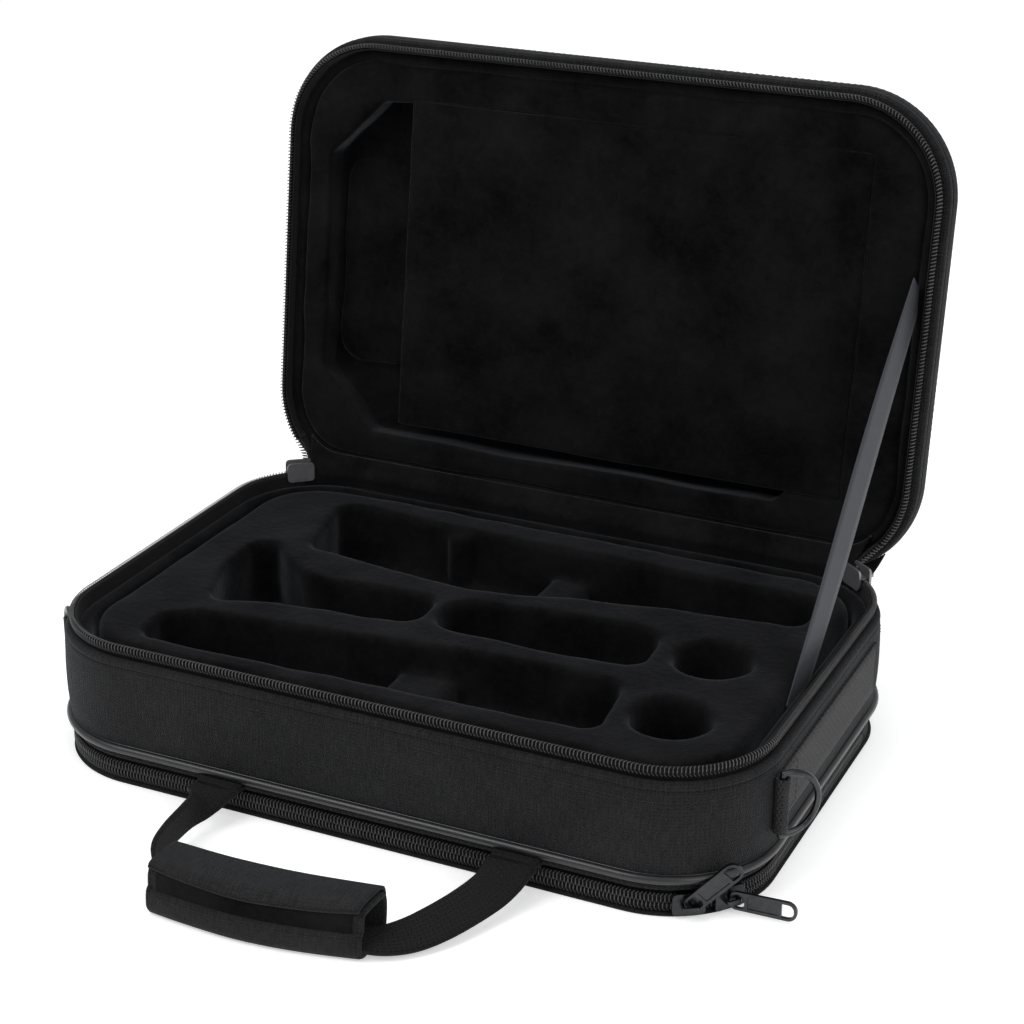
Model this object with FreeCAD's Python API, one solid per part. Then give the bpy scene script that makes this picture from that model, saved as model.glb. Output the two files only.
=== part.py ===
import FreeCAD, Part
import math
import os

V = FreeCAD.Vector
ORIGIN = V(0, 0, 0)
ALONG_X = V(1, 0, 0)
ALONG_Y = V(0, 1, 0)
ALONG_Z = V(0, 0, 1)

# A clarinet case that lies open on its pocket: a tray with a fitted insert, a hinged lid with an
# accessory well, a flat zipped pocket under the tray, a carrying handle and two strap rings.
# Frame: X to the right, Y to the back, Z up, origin at the centre of the flat bottom face.
# Lengths are in millimetres and angles in degrees.

# Plan, measured on the centre line of the rim zip
zip_half_width = 180.0
zip_half_depth = 120.6
corner_radius = 50.0
lid_back_setback = 7.0
lid_back_blend_radius = 30.0
overrun = 1.0
nearness = 0.01

# Zips: two rows of coil on tapes, and the sliders that run along them
coil_row_width = 3.4
coil_row_gap = 1.2
coil_thickness = 3.2
coil_round = 1.0
tape_thickness = 0.7
slider_length = 15.0
slider_width = 11.0
slider_tail_width = 10.6
slider_corner = 2.2
slider_plate = 1.2
slider_outer_clearance = 0.3
slider_inner_clearance = 0.9
slider_edge_clearance = 0.4
slider_post_length = 4.0
slider_post_width = 0.6
slider_flange = 0.9
slider_flange_depth = 2.6
crown_length = 7.2
crown_leg = 1.2
crown_width = 1.7
crown_inside_height = 3.1
crown_bar = 1.3
crown_round = 1.1

# Pull tab of a slider
pull_length = 30.5
pull_root_half_width = 4.5
pull_tip_half_width = 4.8
pull_tip_flat = 0.3
pull_thickness = 1.5
pull_bar = 1.6
pull_corner = 3.0
pull_window_length = 5.0
pull_window_half_width = 3.4
pull_window_corner = 1.8
pull_end_rim = 1.5
pull_end_window_length = 5.6
pull_end_window_corner = 0.5
pull_panel_gap = 1.5
pull_panel_half_width = 3.0
pull_panel_depth = 0.35
pull_lift = 0.2

# Where the sliders stand on the corner arcs, as angles about the corner centres. The pocket's
# two meet nose to nose at the front right corner; each row holds the name, the place, whether
# the nose points back, and how far the pull is turned in the slider's face and swung out of it.
rim_slider_deg = 50.0
rim_pull_turn_deg = -135.0
pocket_sliders = (
    ("left", -57.5, True, 45.0, 7.0),
    ("right", -37.0, False, 0.0, 130.0),
)

# Pocket under the tray
panel_flange = 1.3
panel_padding = 4.5
panel_padding_inset = 6.6
panel_round = 1.2
padding_round = 2.0
pocket_line_offset = 1.6
pocket_zip_half_run = 65.0
pocket_cloth_thickness = 0.9
gusset_height = 3.7
gusset_thickness = 2.6
floor_thickness = 4.6
floor_offset = 0.8
piping_radius = 2.2
piping_offset = 3.6

# Tray
wall_height = 45.2
wall_outer_offset = 3.6
wall_top_round = 2.0
wall_bottom_round = 1.2
tape_overlap = 8.0
rim_clearance = 1.1
lining_thickness = 7.7
lining_drop = 1.5
lining_round = 3.0
tray_zip_end_deg = 57.0

# Insert with the fitted places
insert_channel = 3.0
insert_height = 45.2
insert_edge_round = 4.0
cavity_edge_round = 2.6
cavity_floor_round = 6.0
side_in_arcs_share = 0.98
cavity_floor = 12.0
mouthpiece_floor = 17.0
upper_joint_floor = 15.0
barrel_radius = 19.5
barrel_floor = 4.0
saddle_drop = 15.0
saddle_round = 5.0
step_drop = 17.0
bump_drop = 3.5
bump_radius = 8.5
small_bump_drop = 7.0
small_bump_radius = 6.5

# Lid
lid_depth = 31.0
lid_outer_offset = 4.5
lid_top_thickness = 4.0
lid_edge_round = 14.0
lid_inner_round = 7.0
lid_zip_end_deg = 38.0
lid_lean_deg = 7.26
liner_inset = 8.0
liner_drop = 6.5
liner_round = 3.5
well_depth = 17.6
well_round = 3.0
tray_pad_depth = 1.6
flap_thickness = 3.0
flap_clearance = 0.8
flap_rebate_clearance = 0.3
flap_round = 1.0
hinge_inset = 4.7
hinge_drop = 0.9

# Places in the lid, as shares of the half width and of the lid's depth from its back line
well_outline_shares = (
    (-0.878, 0.235), (-0.878, 0.745), (-0.711, 0.880), (0.600, 0.880),
    (0.767, 0.745), (0.767, 0.235), (0.600, 0.095), (-0.711, 0.095),
)
well_corner = 5.0
pad_left_share = -0.825
pad_right_share = 0.70
pad_low_share = 0.25
pad_high_share = 0.73
pad_corner = 14.0
flap_left_share = -0.611
flap_right_share = 0.80
flap_low_share = 0.128
flap_high_share = 0.885

# Places in the insert, as shares of its half width and half depth: x, y and corner radius
bell_outline_shares = (
    (-0.850, 0.405, 0.085), (-0.845, -0.100, 0.60), (-0.755, -0.430, 0.095),
    (-0.560, -0.315, 0.50), (-0.125, -0.235, 0.090), (-0.140, 0.060, 0.090),
    (-0.560, -0.010, 0.30), (-0.690, 0.120, 0.40),
)
lower_joint_outline_shares = (
    (-0.755, 0.860, 0.085), (-0.675, 0.300, 0.090), (-0.370, 0.245, 0.50), (-0.045, 0.205, 0.60),
    (0.300, 0.350, 0.90), (0.560, 0.425, 1.20), (0.905, 0.490, 0.085), (0.910, 0.790, 0.085),
    (-0.360, 0.815, 1.50),
)
upper_joint_outline_shares = (
    (-0.815, -0.885, 0.080), (-0.825, -0.660, 0.080), (-0.745, -0.560, 0.110), (-0.110, -0.440, 2.00),
    (0.375, -0.360, 0.80), (0.575, -0.370, 0.085), (0.610, -0.820, 0.085), (0.400, -0.835, 1.00),
    (-0.470, -0.875, 2.00),
)
mouthpiece_outline_shares = (
    (-0.105, 0.070, 0.150), (-0.085, -0.225, 0.130), (0.340, -0.235, 1.50), (0.578, -0.200, 0.090),
    (0.560, 0.130, 0.110), (0.470, 0.180, 0.30),
)
barrel_place_shares = ((0.766, -0.585), (0.748, 0.0))
lower_bump_place_share = (-0.305, 0.845)
lower_step_share = (0.020, 0.150)
upper_saddle_share = (-0.105, 0.075)
upper_bump_place_share = (0.400, -0.315)

# Webbing along the side walls, with the ring loops at its front ends
side_strap_width = 27.0
side_strap_thickness = 1.6
side_strap_middle = 44.5
side_strap_back = 66.0
ring_wire_radius = 1.5
ring_bore_clearance = 0.3
ring_fold_place = 79.0
ring_straight = 3.0
ring_rest_deg = 42.0

# Handle, resting on the surface in front of the case
strap_width = 20.0
strap_thickness = 2.0
strap_root_width = 24.0
handle_left_root = -71.0
handle_right_root = 78.5
handle_root_length = 5.6
handle_root_gap = 0.3
handle_hinge_height = 14.3
grip_length = 100.0
grip_centre_x = -5.0
grip_centre_y = -201.0
grip_depth = 28.0
grip_height = 24.0
grip_wall = 3.0
grip_corner = 8.0
grip_inner_corner = 1.5
grip_lift = 0.2
grip_flap_lap = 9.0
grip_flap_thickness = 2.0
grip_strip_thickness = 0.8
grip_seat = 0.25
strap_cant_deg = 32.0
strap_flat_run = 3.0

# Tape that holds the open lid
stay_width = 20.0
stay_thickness = 0.7
stay_place = -12.0
stay_foot = 57.0
stay_lid_share = 0.62
stay_seat = 0.3

# Cloth over the hinge
cloth_thickness = 0.9
cloth_seat = 0.15

# Worked out from the sizes above
corner_x = zip_half_width - corner_radius
corner_y = zip_half_depth - corner_radius
coil_half = coil_thickness / 2
row_low = coil_row_gap / 2
row_high = row_low + coil_row_width
tape_inner = -coil_half - tape_thickness
pocket_mid = panel_flange + slider_edge_clearance + slider_width / 2
gusset_bottom = pocket_mid + slider_width / 2 + slider_edge_clearance
floor_bottom = gusset_bottom + gusset_height
floor_top = floor_bottom + floor_thickness
wall_top = floor_top + wall_height
rim_mid = wall_top + rim_clearance + slider_width / 2
lid_wall_bottom = rim_mid + rim_clearance + slider_width / 2
lid_top = rim_mid + lid_depth
lid_ceiling = lid_top - lid_top_thickness
lid_back = zip_half_depth - lid_back_setback
lid_line_depth = zip_half_depth + lid_back
liner_face = rim_mid + liner_drop
hinge_y = zip_half_depth - hinge_inset
hinge_z = rim_mid - hinge_drop
lid_open_deg = 90.0 + lid_lean_deg
lining_inner = tape_inner - lining_thickness
lining_top = wall_top - lining_drop
insert_offset = lining_inner - insert_channel
insert_half_width = zip_half_width + insert_offset
insert_half_depth = zip_half_depth + insert_offset
insert_top = floor_top + insert_height
handle_axis_y = (-zip_half_depth - gusset_thickness - handle_root_length - handle_root_gap
                 - strap_thickness / 2)
reach = 4 * zip_half_width


def at_angle(radius, angle_deg):
    """Offset from a corner centre, at an angle from +X."""
    angle = math.radians(angle_deg)
    return radius * math.cos(angle), radius * math.sin(angle)


def line(a, b):
    return Part.LineSegment(a, b).toShape()


def arc(centre_x, centre_y, radius, start_deg, end_deg, z):
    """Arc in a level plane about a centre."""
    points = []
    for angle_deg in (start_deg, (start_deg + end_deg) / 2, end_deg):
        dx, dy = at_angle(radius, angle_deg)
        points.append(V(centre_x + dx, centre_y + dy, z))
    return Part.Arc(*points).toShape()


def outline(offset, z, is_lid=False):
    """The zip line moved out by offset. The lid's has its back edge further forward."""
    radius = corner_radius + offset
    side = zip_half_width + offset
    front = -zip_half_depth - offset
    edges = [
        line(V(-corner_x, front, z), V(corner_x, front, z)),
        arc(corner_x, -corner_y, radius, -90, 0, z),
        line(V(side, -corner_y, z), V(side, corner_y, z)),
    ]
    if is_lid:
        blend = lid_back_blend_radius + offset
        rise = lid_back + offset - blend - corner_y
        run = math.sqrt((radius - blend) ** 2 - rise ** 2)
        turn = math.degrees(math.atan2(rise, run))
        blend_x = corner_x + run
        blend_y = corner_y + rise
        back = lid_back + offset
        edges += [
            arc(corner_x, corner_y, radius, 0, turn, z),
            arc(blend_x, blend_y, blend, turn, 90, z),
            line(V(blend_x, back, z), V(-blend_x, back, z)),
            arc(-blend_x, blend_y, blend, 90, 180 - turn, z),
            arc(-corner_x, corner_y, radius, 180 - turn, 180, z),
        ]
    else:
        back = zip_half_depth + offset
        edges += [
            arc(corner_x, corner_y, radius, 0, 90, z),
            line(V(corner_x, back, z), V(-corner_x, back, z)),
            arc(-corner_x, corner_y, radius, 90, 180, z),
        ]
    edges += [
        line(V(-side, corner_y, z), V(-side, -corner_y, z)),
        arc(-corner_x, -corner_y, radius, 180, 270, z),
    ]
    return Part.Wire(edges)


def plate(offset, low, high, is_lid=False):
    """Solid between two heights, with the outline at offset."""
    return Part.Face(outline(offset, low, is_lid)).extrude(V(0, 0, high - low))


def ring(outer, inner, low, high, is_lid=False):
    """Upright band between two offsets and two heights."""
    hole = plate(inner, low - overrun, high + overrun, is_lid)
    return plate(outer, low, high, is_lid).cut(hole)


def behind(y, low, high):
    """Block that takes away everything behind y."""
    corner = V(-reach / 2, y, low - overrun)
    return Part.makeBox(reach, reach, high - low + 2 * overrun, corner)


def level_edges(solid, z):
    """Edges that lie in the level plane z."""
    found = []
    for edge in solid.Edges:
        box = edge.BoundBox
        if abs(box.ZMin - z) < nearness and abs(box.ZMax - z) < nearness:
            found.append(edge)
    return found


def edges_at_offset(solid, z, offset):
    """Level edges at z whose side runs touch the outline at offset."""
    found = []
    side = zip_half_width + offset
    front = zip_half_depth + offset
    for edge in level_edges(solid, z):
        middle = edge.valueAt((edge.FirstParameter + edge.LastParameter) / 2)
        far_x = max(abs(middle.x) - corner_x, 0)
        far_y = max(abs(middle.y) - corner_y, 0)
        on_arc = abs(math.hypot(far_x, far_y) - corner_radius - offset) < nearness
        if on_arc or abs(abs(middle.x) - side) < nearness or abs(abs(middle.y) - front) < nearness:
            found.append(edge)
    return found


def rounded_wire(corners, z):
    """Closed outline through corners of x, y and radius, with arcs that fit between their neighbours."""
    count = len(corners)
    points = [V(x, y, z) for x, y, radius in corners]
    backs = []
    aheads = []
    halves = []
    runs = []
    for i in range(count):
        back = points[i - 1] - points[i]
        ahead = points[(i + 1) % count] - points[i]
        back.normalize()
        ahead.normalize()
        half = math.acos(max(-1, min(1, back.dot(ahead)))) / 2
        backs.append(back)
        aheads.append(ahead)
        halves.append(half)
        runs.append(corners[i][2] / math.tan(half))
    for i in range(count):
        side = (points[i] - points[i - 1]).Length
        fit = min(1, side_in_arcs_share * side / (runs[i] + runs[i - 1]))
        runs[i] *= fit
        runs[i - 1] *= fit
    edges = []
    for i in range(count):
        radius = runs[i] * math.tan(halves[i])
        bisector = backs[i] + aheads[i]
        bisector.normalize()
        start = points[i] + backs[i] * runs[i]
        middle = points[i] + bisector * (radius / math.sin(halves[i]) - radius)
        end = points[i] + aheads[i] * runs[i]
        ahead = (i + 1) % count
        edges.append(Part.Arc(start, middle, end).toShape())
        edges.append(line(end, points[ahead] + backs[ahead] * runs[ahead]))
    return Part.Wire(edges)


def prism(wire, height):
    return Part.Face(wire).extrude(V(0, 0, height))


def closing(shape):
    """Swings a lid piece that is drawn closed back to its open place."""
    shape.rotate(V(0, hinge_y, hinge_z), ALONG_X, -lid_open_deg)
    return shape


# Tray

def tray_floor():
    return plate(floor_offset, floor_bottom, floor_top)


def tray_wall():
    """Padded wall with a rebate at the top that holds the zip tape."""
    outer = plate(wall_outer_offset, floor_top, wall_top)
    outer = outer.makeFillet(wall_top_round, level_edges(outer, wall_top))
    outer = outer.makeFillet(wall_bottom_round, level_edges(outer, floor_top))
    inside = plate(tape_inner, floor_top - overrun, wall_top + overrun)
    rebate = plate(-coil_half, wall_top - tape_overlap, wall_top + overrun)
    return outer.cut(inside).cut(rebate)


def wall_lining():
    body = ring(tape_inner, lining_inner, floor_top, lining_top)
    return body.makeFillet(lining_round, edges_at_offset(body, lining_top, lining_inner))


def gusset_strip():
    return ring(gusset_thickness, 0, gusset_bottom, floor_bottom)


def piping():
    """Round bead in the seam between the wall and the gusset."""
    middle = (floor_bottom + floor_top) / 2
    path = outline(piping_offset, middle)
    centre = V(0, -zip_half_depth - piping_offset, middle)
    section = Part.Wire([Part.Circle(centre, ALONG_X, piping_radius).toShape()])
    start = line(V(0, centre.y, middle), V(corner_x, centre.y, middle))
    rest = path.Edges[1:]
    close = line(V(-corner_x, centre.y, middle), V(0, centre.y, middle))
    return Part.Wire([start] + rest + [close]).makePipeShell([section], True, True)


def coil_row(offset, low, high, end_y, is_lid=False):
    """One row of a zip, with rounded faces, up to where it ends near the back."""
    body = ring(offset + coil_half, offset - coil_half, low, high, is_lid)
    body = body.cut(behind(end_y, low, high))
    rounds = level_edges(body, low) + level_edges(body, high)
    long_edges = [edge for edge in rounds if edge.Length > 2 * coil_thickness]
    return body.makeFillet(coil_round, long_edges)


def tape(offset, low, high, end_y, is_lid=False):
    outer = offset - coil_half
    body = ring(outer, outer - tape_thickness, low, high, is_lid)
    return body.cut(behind(end_y, low, high))


def zip_end(end_deg):
    return corner_y + at_angle(corner_radius, end_deg)[1]


# Insert

def scaled(shares):
    """Corners in millimetres from shares of the insert's half sizes."""
    return [
        (x * insert_half_width, y * insert_half_depth, r * insert_half_depth)
        for x, y, r in shares
    ]


def hollow(shares, floor_height):
    """Cutting body of a fitted place with a rounded floor."""
    low = floor_top + floor_height
    body = prism(rounded_wire(scaled(shares), low), insert_top + overrun - low)
    return body.makeFillet(cavity_floor_round, level_edges(body, low))


def cross_saddle(span_share, drop):
    """Raised band across a slot, with rounded shoulders."""
    left = span_share[0] * insert_half_width
    right = span_share[1] * insert_half_width
    height = insert_top - drop - floor_top
    block = Part.makeBox(right - left, 2 * insert_half_depth, height,
                         V(left, -insert_half_depth, floor_top))
    shoulders = [
        edge for edge in level_edges(block, insert_top - drop)
        if edge.Length > insert_half_depth
    ]
    return block.makeFillet(saddle_round, shoulders)


def bump(place_share, radius, drop):
    """Round stud that stands in a slot beside its wall."""
    top = insert_top - drop
    foot = V(place_share[0] * insert_half_width, place_share[1] * insert_half_depth, floor_top)
    stud = Part.makeCylinder(radius, top - floor_top, foot)
    return stud.makeFillet(radius / 3, level_edges(stud, top))


def insert():
    """Padded block with the places for bell, joints, mouthpiece and barrels."""
    block = plate(insert_offset, floor_top, insert_top)
    block = block.makeFillet(insert_edge_round, level_edges(block, insert_top))
    lower = hollow(lower_joint_outline_shares, cavity_floor)
    lower = lower.cut(cross_saddle(lower_step_share, step_drop))
    lower = lower.cut(bump(lower_bump_place_share, bump_radius, bump_drop))
    upper = hollow(upper_joint_outline_shares, upper_joint_floor)
    upper = upper.cut(cross_saddle(upper_saddle_share, saddle_drop))
    upper = upper.cut(bump(upper_bump_place_share, small_bump_radius, small_bump_drop))
    block = block.cut(lower)
    block = block.cut(upper)
    block = block.cut(hollow(bell_outline_shares, cavity_floor))
    block = block.cut(hollow(mouthpiece_outline_shares, mouthpiece_floor))
    for x_share, y_share in barrel_place_shares:
        foot = V(x_share * insert_half_width, y_share * insert_half_depth, floor_top + barrel_floor)
        hole = Part.makeCylinder(barrel_radius, insert_height + overrun, foot)
        hole = hole.makeFillet(cavity_floor_round, level_edges(hole, foot.z))
        block = block.cut(hole)
    return block.makeFillet(cavity_edge_round, level_edges(block, insert_top))


# Pocket

def pocket_panel():
    """Bottom panel: a thin rim that carries the zip and a padded middle."""
    rim = plate(pocket_line_offset + coil_half, 0, panel_flange)
    rim = rim.makeFillet(panel_round, level_edges(rim, 0))
    padding = plate(pocket_line_offset - panel_padding_inset, 0, panel_padding)
    padding = padding.makeFillet(padding_round, level_edges(padding, panel_padding))
    return rim.fuse(padding).removeSplitter()


def pocket_hinge_cloth():
    """Cloth that joins the panel to the tray behind the ends of the zip."""
    outer = pocket_line_offset
    band = ring(outer, outer - pocket_cloth_thickness, panel_flange, gusset_bottom)
    front = Part.makeBox(reach, reach, gusset_bottom + overrun,
                         V(-reach / 2, pocket_zip_half_run + slider_edge_clearance - reach, 0))
    return band.cut(front)


# Lid, drawn closed and then swung open

def lid_shell():
    outer = plate(lid_outer_offset, lid_wall_bottom, lid_top, True)
    outer = outer.makeFillet(lid_edge_round, level_edges(outer, lid_top))
    outer = outer.makeFillet(wall_top_round, level_edges(outer, lid_wall_bottom))
    inside = plate(tape_inner, lid_wall_bottom - overrun, lid_ceiling, True)
    inside = inside.makeFillet(lid_inner_round, level_edges(inside, lid_ceiling))
    rebate = plate(-coil_half, lid_wall_bottom - overrun, lid_wall_bottom + tape_overlap, True)
    return outer.cut(inside).cut(rebate)


def lid_x(share):
    return share * zip_half_width


def lid_y(share):
    return lid_back - share * lid_line_depth


def lid_rectangle(left, right, low, high, corner, z, grow=0):
    """Rounded rectangle in the lid from shares of its width and depth."""
    corners = [
        (lid_x(left) - grow, lid_y(low) + grow, corner),
        (lid_x(left) - grow, lid_y(high) - grow, corner),
        (lid_x(right) + grow, lid_y(high) - grow, corner),
        (lid_x(right) + grow, lid_y(low) + grow, corner),
    ]
    return rounded_wire(corners, z)


def lid_liner():
    """Padded border round the accessory well, with a shallow bed in the well's floor."""
    body = plate(-liner_inset, liner_face, lid_ceiling, True)
    body = body.makeFillet(liner_round, level_edges(body, liner_face))
    inner_corner = lid_inner_round - liner_inset - tape_inner
    if inner_corner > 0:
        body = body.makeFillet(inner_corner, level_edges(body, lid_ceiling))
    corners = [(lid_x(x), lid_y(v), well_corner) for x, v in well_outline_shares]
    well = prism(rounded_wire(corners, liner_face - overrun), well_depth + overrun)
    body = body.cut(well)
    floor = liner_face + well_depth
    bed = lid_rectangle(pad_left_share, pad_right_share, pad_low_share, pad_high_share,
                        pad_corner, floor - overrun)
    body = body.cut(prism(bed, tray_pad_depth + overrun))
    seat = lid_rectangle(flap_left_share, flap_right_share, flap_low_share, flap_high_share,
                         flap_round, liner_face - overrun, flap_clearance)
    return body.cut(prism(seat, flap_thickness + flap_rebate_clearance + overrun))


def lid_flap():
    """Covered board over the well, hinged along its right edge."""
    wire = lid_rectangle(flap_left_share, flap_right_share, flap_low_share, flap_high_share,
                         flap_round, liner_face)
    board = prism(wire, flap_thickness)
    return board.makeFillet(flap_round / 2, level_edges(board, liner_face))


# Cloth pieces across the hinge and the stay

def strip(points, thickness):
    """Thin sheet along X whose section follows points of y and z."""
    outer = [V(-corner_x, y, z) for y, z in points]
    inner = []
    for i in range(len(points)):
        before = outer[max(i - 1, 0)]
        after = outer[min(i + 1, len(points) - 1)]
        across = ALONG_X.cross(after - before)
        across.normalize()
        inner.append(outer[i] + across * thickness)
    face = Part.Face(Part.makePolygon(outer + inner[::-1] + [outer[0]]))
    return face.extrude(V(2 * corner_x, 0, 0))


def opened(y, z):
    """Where a point of the closed lid lies when the lid is open."""
    angle = math.radians(-lid_open_deg)
    dy = y - hinge_y
    dz = z - hinge_z
    return (hinge_y + dy * math.cos(angle) - dz * math.sin(angle),
            hinge_z + dy * math.sin(angle) + dz * math.cos(angle))


def hinge_cloth():
    """Outer cloth, slack in a fold between the tray's back wall and the open lid's back."""
    back = zip_half_depth + wall_outer_offset + cloth_seat
    lid_point = opened(lid_back + lid_outer_offset + cloth_seat, lid_wall_bottom + tape_overlap)
    foot = wall_top - tape_overlap
    low = (back, foot)
    fold = (back + cloth_thickness, (foot + wall_top) / 2)
    far = (lid_point[0] - cloth_thickness, (wall_top + lid_point[1]) / 2 - 2 * cloth_thickness)
    return strip([lid_point, far, fold, low], cloth_thickness)


def hinge_lining():
    """Plush that runs from the wall lining over the hinge to the lid's liner."""
    inside = zip_half_depth + tape_inner
    edge_low = opened(lid_back + lid_outer_offset, lid_wall_bottom)
    edge_high = opened(lid_back + tape_inner, lid_wall_bottom)
    end = opened(lid_back - liner_inset, liner_face)
    points = [
        (inside - lining_round, lining_top + cloth_seat),
        (inside, wall_top + 2 * cloth_seat),
        (edge_low[0] - cloth_seat, edge_low[1]),
        (edge_high[0] - cloth_seat, edge_high[1]),
        (end[0] - cloth_seat, end[1]),
    ]
    return strip(points, cloth_thickness)


def stay_strap():
    """Flat tape from the gap beside the insert up to the gap beside the lid's liner."""
    low = V(zip_half_width + lining_inner - stay_seat - stay_thickness, stay_place, stay_foot)
    lid_point = opened(lid_y(stay_lid_share), liner_face - stay_seat)
    high = V(zip_half_width - liner_inset + stay_seat, lid_point[0], lid_point[1])
    along = high - low
    along.normalize()
    across = ALONG_X.cross(along)
    across.normalize()
    half = across * (stay_width / 2)
    corners = [low - half, low + half, high + half, high - half, low - half]
    return Part.Face(Part.makePolygon(corners)).extrude(V(stay_thickness, 0, 0))


# Side webbing and rings, drawn on the right and mirrored for the left

def ring_axis():
    """Centre of the loop that holds the ring's bar."""
    outer = ring_wire_radius + ring_bore_clearance + side_strap_thickness
    x = zip_half_width + wall_outer_offset + outer
    return V(x, -ring_fold_place, side_strap_middle)


def side_strap():
    axis = ring_axis()
    low = side_strap_middle - side_strap_width / 2
    wall = zip_half_width + wall_outer_offset
    band = Part.makeBox(side_strap_thickness, side_strap_back + ring_fold_place, side_strap_width,
                        V(wall, -ring_fold_place, low))
    bore = ring_wire_radius + ring_bore_clearance
    foot = V(axis.x, axis.y, low)
    loop = Part.makeCylinder(bore + side_strap_thickness, side_strap_width, foot)
    hole = Part.makeCylinder(bore, side_strap_width, foot)
    return band.fuse(loop).cut(hole).removeSplitter()


def strap_ring():
    """Steel D-ring: a bar through the loop and a half round bow."""
    axis = ring_axis()
    half = side_strap_width / 2 + ring_bore_clearance + ring_wire_radius
    wire = ring_wire_radius
    bar = Part.makeCylinder(wire, 2 * half, V(0, 0, -half))
    body = bar
    for side in (-1, 1):
        body = body.fuse(Part.makeSphere(wire, V(0, 0, side * half)))
        body = body.fuse(Part.makeCylinder(wire, ring_straight, V(0, 0, side * half), ALONG_Y))
    bow = Part.makeTorus(half, wire, ORIGIN, ALONG_X)
    keep = Part.makeBox(2 * reach, reach, 2 * reach, V(-reach, 0, -reach))
    bow = bow.common(keep)
    bow.translate(V(0, ring_straight, 0))
    body = body.fuse(bow).removeSplitter()
    body.rotate(ORIGIN, ALONG_Z, -ring_rest_deg)
    body.translate(axis)
    return body


# Sliders, drawn with X along the zip, Y away from the case and Z across the zip

plate_out = coil_half + slider_outer_clearance
plate_in = tape_inner - slider_inner_clearance
crown_top = plate_out + slider_plate + crown_inside_height + crown_bar


def slider_plate_wire(y):
    half = slider_length / 2
    wide = slider_width / 2
    tail = slider_tail_width / 2
    corners = [
        (half, wide, slider_corner), (-half, tail, slider_corner),
        (-half, -tail, slider_corner), (half, -wide, slider_corner),
    ]
    wire = rounded_wire(corners, 0)
    wire.rotate(ORIGIN, ALONG_X, 90)
    wire.translate(V(0, y, 0))
    return wire


def slider(flange_side):
    """Slider with two plates, a post between the rows, a crown and one pair of guide flanges."""
    outer = Part.Face(slider_plate_wire(plate_out)).extrude(V(0, slider_plate, 0))
    inner = Part.Face(slider_plate_wire(plate_in - slider_plate)).extrude(V(0, slider_plate, 0))
    post = Part.makeBox(
        slider_post_length, plate_out - plate_in, slider_post_width,
        V(slider_length / 2 - slider_corner - slider_post_length, plate_in, -slider_post_width / 2))
    flange_z = slider_tail_width / 2 - slider_flange
    if flange_side < 0:
        flange_z = -slider_tail_width / 2
    flange = Part.makeBox(slider_length - 2 * slider_corner, slider_flange_depth, slider_flange,
                          V(-slider_length / 2 + slider_corner, plate_out - slider_flange_depth, flange_z))
    foot = plate_out + slider_plate
    half = crown_length / 2
    profile = rounded_wire([
        (-half, foot - slider_plate / 2, crown_round / 3), (half, foot - slider_plate / 2, crown_round / 3),
        (half, crown_top, crown_round), (-half, crown_top, crown_round)], -crown_width / 2)
    crown = prism(profile, crown_width)
    window = Part.makeBox(crown_length - 2 * crown_leg, crown_inside_height, crown_width + 2 * overrun,
                          V(-half + crown_leg, foot, -crown_width / 2 - overrun))
    body = outer.fuse(inner).fuse(post).fuse(crown).cut(window)
    return body.fuse(flange).removeSplitter()


def pull(turn_deg, swing_deg):
    """Pull tab hung on the crown: turned in the slider's face, then swung away from it."""
    bar = pull_bar / 2
    tip = pull_length - bar
    root = pull_root_half_width
    end = pull_tip_half_width
    low = -pull_thickness / 2
    body = prism(rounded_wire([
        (-bar, -root, pull_corner), (tip, -end, end - pull_tip_flat),
        (tip, end, end - pull_tip_flat), (-bar, root, pull_corner)], low), pull_thickness)
    first_end = bar + pull_window_length
    half = pull_window_half_width
    window = prism(rounded_wire([
        (bar, -half, pull_window_corner), (first_end, -half, pull_window_corner),
        (first_end, half, pull_window_corner), (bar, half, pull_window_corner)],
        low - overrun), pull_thickness + 2 * overrun)
    far = tip - pull_end_rim
    near = far - pull_end_window_length
    corner = half - pull_end_window_corner
    small = pull_end_window_corner
    end_window = prism(rounded_wire([
        (near, -half, small), (far, -half, corner), (far, half, corner), (near, half, small)],
        low - overrun), pull_thickness + 2 * overrun)
    body = body.cut(window).cut(end_window)
    panel_low = first_end + pull_panel_gap
    panel_high = near - pull_panel_gap
    for floor in (-low - pull_panel_depth, low - overrun):
        panel = Part.makeBox(panel_high - panel_low, 2 * pull_panel_half_width,
                             overrun + pull_panel_depth,
                             V(panel_low, -pull_panel_half_width, floor))
        body = body.cut(panel)
    body.rotate(ORIGIN, ALONG_Y, swing_deg)
    body.rotate(ORIGIN, ALONG_X, 90)
    body.rotate(ORIGIN, ALONG_Y, -turn_deg)
    seat = plate_out + slider_plate + pull_lift + math.hypot(bar, pull_thickness / 2)
    body.translate(V(0, seat, 0))
    return body


def on_corner(shape, side, front, offset, angle_deg, mid, is_flipped=False):
    """Places a slider piece on a corner of the zip line, at an angle measured from the side run."""
    if is_flipped:
        shape = shape.mirror(ORIGIN, ALONG_X)
    shape.rotate(ORIGIN, ALONG_Z, angle_deg - 90)
    dx, dy = at_angle(corner_radius + offset, angle_deg)
    shape.translate(V(corner_x + dx, front * corner_y + dy, mid))
    if side < 0:
        shape = shape.mirror(ORIGIN, ALONG_X)
    return shape


# Handle

def handle_tab(centre_x):
    """Webbing root sewn under the piping."""
    wall = zip_half_depth + gusset_thickness
    return Part.makeBox(strap_root_width, handle_root_length, strap_thickness,
                        V(centre_x - strap_root_width / 2, -wall - handle_root_length,
                          handle_hinge_height - strap_thickness / 2))


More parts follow.
